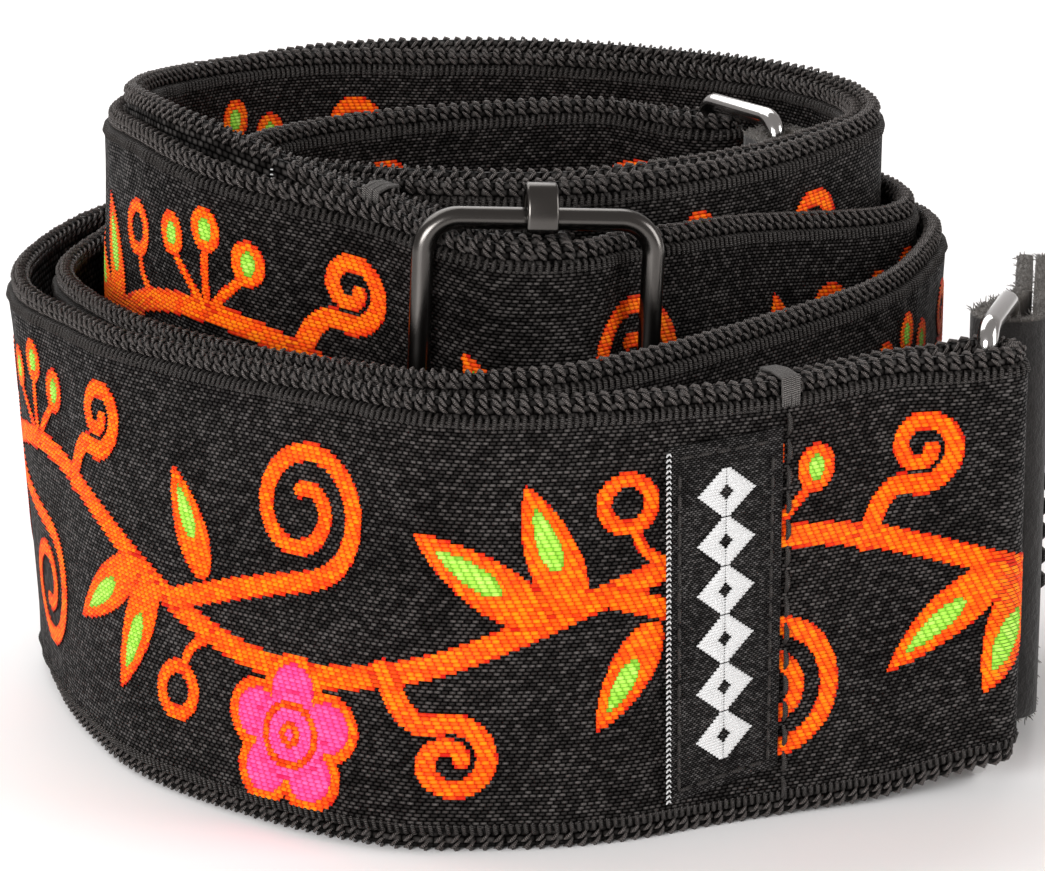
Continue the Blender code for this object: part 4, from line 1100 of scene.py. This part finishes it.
def tab_half_width(distance):
    """Half the tab's width at a distance from the loop towards the tongue's round end."""
    start, end = TAB_SHOULDER
    narrow = smooth_step((distance - start) / (end - start))
    half = TAB_WIDTH / 2 + (TONGUE_WIDTH - TAB_WIDTH) / 2 * narrow
    from_end = TAB_LENGTH - distance
    radius = TONGUE_WIDTH / 2
    if from_end < radius:
        half = min(half, math.sqrt(max(radius**2 - (radius - from_end) ** 2, 0.0)))
    return max(half, 1.0 * MM)


def straight_route(start, heading, length):
    count = int(length / ROUTE_STEP)
    points = np.array(start) + np.outer(np.linspace(0.0, length, count + 1), heading)
    return np.hstack([points, np.zeros((count + 1, 3))])


def cutter(name, centre, along, across, outline):
    """A prism through a tab, for its button hole."""
    count = len(outline)
    flat = centre + outline[:, :1] * along + outline[:, 1:] * np.array([0.0, 0.0, 1.0])
    points = np.concatenate([flat - across * 3 * MM, flat + across * 3 * MM])
    mesh = bpy.data.meshes.new(name)
    faces = [tuple(range(count))[::-1], tuple(range(count, 2 * count))]
    faces += [(k, (k + 1) % count, count + (k + 1) % count, count + k) for k in range(count)]
    mesh.from_pydata(points.tolist(), [], faces)
    item = bpy.data.objects.new(name, mesh)
    bpy.context.scene.collection.objects.link(item)
    return item


def cut_hole(item, cutters):
    for tool in cutters:
        cut = item.modifiers.new(tool.name, "BOOLEAN")
        cut.operation = "DIFFERENCE"
        cut.object = tool
    graph = bpy.context.evaluated_depsgraph_get()
    mesh = bpy.data.meshes.new_from_object(item.evaluated_get(graph))
    item.modifiers.clear()
    item.data = mesh
    for tool in cutters:
        bpy.data.objects.remove(tool)


def make_tab(name, long_layer, side, middle, leather, fuzz, thread):
    """A leather strip folded round a ring's bar, with a button hole in its long layer."""
    pitch = LEATHER + CLEARANCE
    back = loop_back(long_layer, TAB_LOOP_RADIUS, pitch, TAB_BLEND, TAB_SHORT_LAYER, side)
    reach = lengths_along(long_layer)[-1]
    route = drop_close_points(np.vstack([long_layer, back]), 0.3 * MM)
    distance = lengths_along(route)
    kept = [0]
    for i in range(1, len(route)):
        step = 0.5 * MM if distance[i] < TONGUE_WIDTH / 2 else 0.9 * MM
        if distance[i] - distance[kept[-1]] >= step:
            kept.append(i)
    route, distance = route[kept], distance[kept]
    half = np.array([tab_half_width(reach - d) if d < reach else TAB_WIDTH / 2 for d in distance])
    half[0] = 1.0 * MM
    normals = right_normals(route)
    rows = np.linspace(-1, 1, 22)
    thick = LEATHER / 2
    section = [(v, thick, 0.0) for v in rows * (1 - 0.012)]
    section += [(1.0, thick * 0.55, 1.0), (1.0, -thick * 0.55, 1.0)]
    section += [(v, -thick, 2.0) for v in rows[::-1] * (1 - 0.012)]
    section += [(-1.0, -thick * 0.55, 1.0), (-1.0, thick * 0.55, 1.0)]
    section.append(section[0])
    section = np.array(section)
    if side < 0:
        section[:, 2] = 2.0 - section[:, 2]
    closed = np.concatenate([[0], np.arange(len(route)), [len(route) - 1]])
    squeeze = np.ones(len(closed))
    squeeze[[0, -1]] = 0.02
    across = section[:, 1] * squeeze[:, None]
    plan = route[closed, None, :2] + normals[closed, None] * across[..., None]
    high = middle + half[closed, None] * section[:, 0]
    points = np.concatenate([plan, high[..., None]], axis=2)
    uv = np.stack(np.broadcast_arrays(distance[closed, None] / MM, section[:, 2]), axis=-1)
    faces = grid_faces(len(closed), len(section))
    item = mesh_object(name + "_leather", points.reshape(-1, 3), faces, uv.reshape(-1, 2),
                       leather, name)
    i = int(np.argmin(np.abs(distance - HOLE_TO_END)))
    out = np.array([*normals[i], 0.0])
    along = np.array([-normals[i][1], normals[i][0], 0.0])
    centre = np.array([*route[i, :2], middle])
    angle = 2 * math.pi * np.arange(32) / 32
    circle = np.stack([np.cos(angle), np.sin(angle)], axis=1) * BUTTON_HOLE / 2
    width, length = BUTTON_SLIT
    far = BUTTON_HOLE / 2 + length
    slit = np.array([(0, -width / 2), (far, -width / 2), (far, width / 2), (0, width / 2)])
    cut_hole(item, [cutter("hole", centre, along, out, circle),
                    cutter("slit", centre, along, out, slit)])
    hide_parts(name)

    count = 2600
    pick = random.integers(1, len(route) - 1, count)
    sign = np.where(random.random(count) < 0.75, 1, -1)
    spread = random.uniform(-0.9, 0.9, count) * thick
    foot = np.concatenate([route[pick, :2] + normals[pick] * spread[:, None],
                           (middle + sign * (half[pick] - 0.1 * MM))[:, None]], axis=1)
    lean = random.normal(0.0, 0.35, (count, 3)) * MM
    lean[:, 2] = sign * random.uniform(0.15, 0.6, count) * MM
    share = np.array([0.0, 0.4, 0.8, 1.0])[:, None]
    bend = random.normal(0.0, 0.15, (count, 1, 3)) * MM
    centres = foot[:, None] + lean[:, None] * share + bend * share**2
    yarns(name + "_fibres", centres, np.array([1.0, 0.3, 0.1]),
          np.array([0.07, 0.06, 0.05, 0.02]) * MM, fuzz, name, sides=4)

    place = int(np.argmin(np.abs(distance - (reach - TAB_SEAM_DISTANCE))))
    foot = np.array([*route[place, :2], 0.0])
    out = np.array([*normals[place], 0.0])
    starts = middle + np.arange(-TAB_SEAM_LENGTH / 2, TAB_SEAM_LENGTH / 2 - 2 * MM, 3.2 * MM)
    heights = starts[:, None] + np.array([0.0, 0.6, 1.8, 2.4]) * MM
    lift = -side * (thick + np.array([-0.3, 0.25, 0.25, -0.3]) * MM)
    centres = foot + out * lift[None, :, None] + heights[..., None] * np.array([0, 0, 1.0])
    seam = yarns(name + "_stitches", centres, out, np.array([0.2, 0.32, 0.32, 0.2]) * MM,
                 thread, name)
    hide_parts(name + "_seam")


# The studio.


def area_light(name, place, target, size, power):
    lamp = bpy.data.lights.new(name, "AREA")
    lamp.shape = "RECTANGLE"
    lamp.size, lamp.size_y = size
    lamp.energy = power
    item = bpy.data.objects.new(name, lamp)
    item.location = place
    item.rotation_mode = "QUATERNION"
    item.rotation_quaternion = (Vector(target) - Vector(place)).to_track_quat("-Z", "Y")
    bpy.context.scene.collection.objects.link(item)


def make_studio():
    look = Look("studio_white", 0.6)
    look.plug(look.shader.inputs["Base Color"], (0.93, 0.92, 0.92, 1.0))
    outline = [(-3.0, 0.0), (1.2, 0.0), (1.6, 0.06), (1.85, 0.25), (1.95, 0.6), (2.0, 3.0)]
    points = np.array([[(x, y, z) for x in (-4.0, 4.0)] for y, z in outline])
    mesh = bpy.data.meshes.new("floor")
    mesh.from_pydata(points.reshape(-1, 3).tolist(), [], grid_faces(len(outline), 2).tolist())
    mesh.shade_smooth()
    mesh.materials.append(look.material)
    floor = bpy.data.objects.new("floor", mesh)
    bpy.context.scene.collection.objects.link(floor)

    world = bpy.data.worlds.new("studio")
    world.use_nodes = True
    world.node_tree.nodes["Background"].inputs["Color"].default_value = (1.0, 0.95, 0.93, 1.0)
    world.node_tree.nodes["Background"].inputs["Strength"].default_value = 0.36
    bpy.context.scene.world = world
    target = (0.0, 0.0, 0.03)
    area_light("key", (-0.45, -0.9, 0.32), target, (0.6, 0.35), 10.5)
    area_light("top", (-0.35, 0.7, 0.9), (-0.1, 0.3, 0.0), (1.5, 1.0), 13.0)
    area_light("side", (0.8, -0.2, 0.3), target, (0.4, 0.5), 4.0)

    camera = bpy.data.cameras.new("camera")
    camera.sensor_width = 36.0
    camera.lens = CAMERA_LENS
    camera.clip_start = 0.01
    item = bpy.data.objects.new("camera", camera)
    item.location = CAMERA_PLACE
    item.rotation_euler = (math.radians(90.0 - CAMERA_PITCH), 0.0, 0.0)
    bpy.context.scene.collection.objects.link(item)
    bpy.context.scene.camera = item
    bpy.context.scene.view_settings.view_transform = "Standard"


def sew_loops(strap, fold, lengths, rib, tack):
    """The stitches across the outer ring's loop and the slider's, and the tacks at their ends.
    The lengths are those of the main strand and of the one that returns to the slider."""
    bonded = WEBBING_THICKNESS + STRAND_GAP
    seam_place = fold + OUTER_SEAM_DISTANCE
    stitch_row(strap, "outer_loop_stitches", seam_place, rib, "outer_loop_seam")
    make_bartack(strap, "outer_loop_tack", "outer_loop_bartack_upper", seam_place,
                 (-bonded - 1.6 * MM, 1.6 * MM), WEBBING_WIDTH, 1, (3.0 * MM, 3.0 * MM), tack)
    turn_place = fold + sum(lengths)
    for name, edge, sign in (("upper", WEBBING_WIDTH, 1), ("lower", 0.0, -1)):
        make_bartack(strap, "slider_loop_tack_" + name, "slider_loop_bartack_" + name,
                     turn_place - SLIDER_TACK_DISTANCE, (-bonded - 0.9 * MM, 1.6 * MM), edge, sign,
                     (1.2 * MM, 2.6 * MM), tack)
    stitch_row(strap, "slider_loop_stitches", turn_place - SLIDER_SEAM_DISTANCE, rib,
               "slider_loop_seam")


def make_fittings(main_route, outer_plan, inner_plan, looks):
    """The two rings, the leather tab on each, and the slider."""
    bright_metal, dark_metal, leather, fuzz, rib = looks
    middle = main_route[0, 2] - WEBBING_WIDTH / 2
    outer_far = make_ring("outer_ring", np.array([*outer_plan, middle]), OUTER_RING_HEADING,
                          bright_metal)
    middle = main_route[-1, 2] - WEBBING_WIDTH / 2
    inner_far = make_ring("inner_ring", np.array([*inner_plan, middle]), INNER_RING_HEADING,
                          bright_metal)
    heading = np.array([math.cos(OUTER_TAB_HEADING), math.sin(OUTER_TAB_HEADING)])
    outside = np.array([heading[1], -heading[0]])
    start = outer_far[:2] + outside * TAB_LOOP_RADIUS + heading * TAB_LENGTH
    make_tab("outer_tab", straight_route(start, -heading, TAB_LENGTH), 1, outer_far[2], leather,
             fuzz, rib)
    route = lean_inwards(smooth_curve([(x * MM, y * MM, 0.0, 0.0) for x, y in INNER_TAB_ROUTE]))
    route[:, :2] -= np.array(ROLL_CENTRE)
    make_tab("inner_tab", route, -1, inner_far[2], leather, fuzz, rib)
    slider_top = SLIDER_PASS[len(SLIDER_PASS) // 2][2] * MM
    make_slider(slider_top - WEBBING_WIDTH / 2, dark_metal)


def main():
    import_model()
    routes = strap_routes()
    main_route = routes["main"]
    outer_plan = loop_centre(main_route[::-1], RING_LOOP_RADIUS, -1)
    inner_plan = loop_centre(main_route, RING_LOOP_RADIUS, 1)
    strap = Strap(routes["whole"], (outer_plan, inner_plan))
    fold = lengths_along(routes["outer_back"])[-1]

    # The pale tones of these black cloths are painted highlights on their thread tops.
    ground = cloth_look("black_ribbon", 0.78, 0.42, 0.37, (0.0012, 0.001, 0.001),
                        (0.085, 0.074, 0.070), 0.45 * MM)
    back = cloth_look("black_webbing", 1.05, 0.8, 0.5, (0.0012, 0.001, 0.001),
                      (0.07, 0.062, 0.058), 0.5 * MM)
    # The pale tones of the black chain and rib threads are painted highlights on their ply crests.
    chain = thread_look("black_chain", (0.001, 0.0009, 0.0009), (0.26, 0.226, 0.212), 0.4)
    rib = thread_look("black_rib", (0.0015, 0.0013, 0.0013), (0.11, 0.097, 0.09), 0.45)
    tack = thread_look("grey_tack", (0.006, 0.005, 0.005), (0.3, 0.28, 0.265))
    white = thread_look("white_thread", (0.55, 0.55, 0.55), (0.95, 0.95, 0.94), sheen=0.3)
    # The label satin's pale tone is a painted highlight on its black thread tops.
    satin = cloth_look("label_satin", 0.5, 0.25, 0.5, (0.002, 0.0018, 0.0018),
                       (0.07, 0.064, 0.062), 0.12 * MM)
    # Each pattern colour: a first tone for the pattern's rim and for painted shade at the thread
    # ends, its own middle tone, and a third tone that is a painted highlight.
    orange = float_look("pattern_orange", (0.50, 0.003, 0.0), (1.0, 0.08, 0.0), (1.0, 0.30, 0.0))
    green = float_look("pattern_green", (0.12, 0.34, 0.01), (0.34, 0.72, 0.06), (0.55, 0.85, 0.16))
    pink = float_look("pattern_pink", (0.60, 0.008, 0.09), (0.88, 0.06, 0.28), (0.95, 0.13, 0.38))
    dark_metal = metal_look("black_nickel", (0.105, 0.098, 0.092), 0.22)
    bright_metal = metal_look("nickel", (0.6, 0.59, 0.58), 0.14)
    leather = leather_look("tab_leather", ((0.03, 0.026, 0.023), (0.26, 0.23, 0.2)),
                           ((0.003, 0.0026, 0.0025), (0.035, 0.031, 0.029)), 0.75, 900.0)
    fuzz = thread_look("leather_fuzz", (0.06, 0.053, 0.047), (0.34, 0.31, 0.28), 0.95, 0.3)

    webbing, chains = make_webbing(strap, back, chain)
    ribbon, ribs = make_ribbon(strap, ground, rib)
    pattern_threads(strap, fold, {ORANGE: orange, GREEN: green, PINK: pink})
    label_pieces = make_label(strap, fold, satin, rib, white, white)
    ends = frayed_ends(strap, white)

    lengths = [lengths_along(routes[part])[-1] for part in ("main", "returning")]
    sew_loops(strap, fold, lengths, rib, tack)
    make_fittings(main_route, outer_plan, inner_plan, (bright_metal, dark_metal, leather, fuzz, rib))

    make_studio()


main()
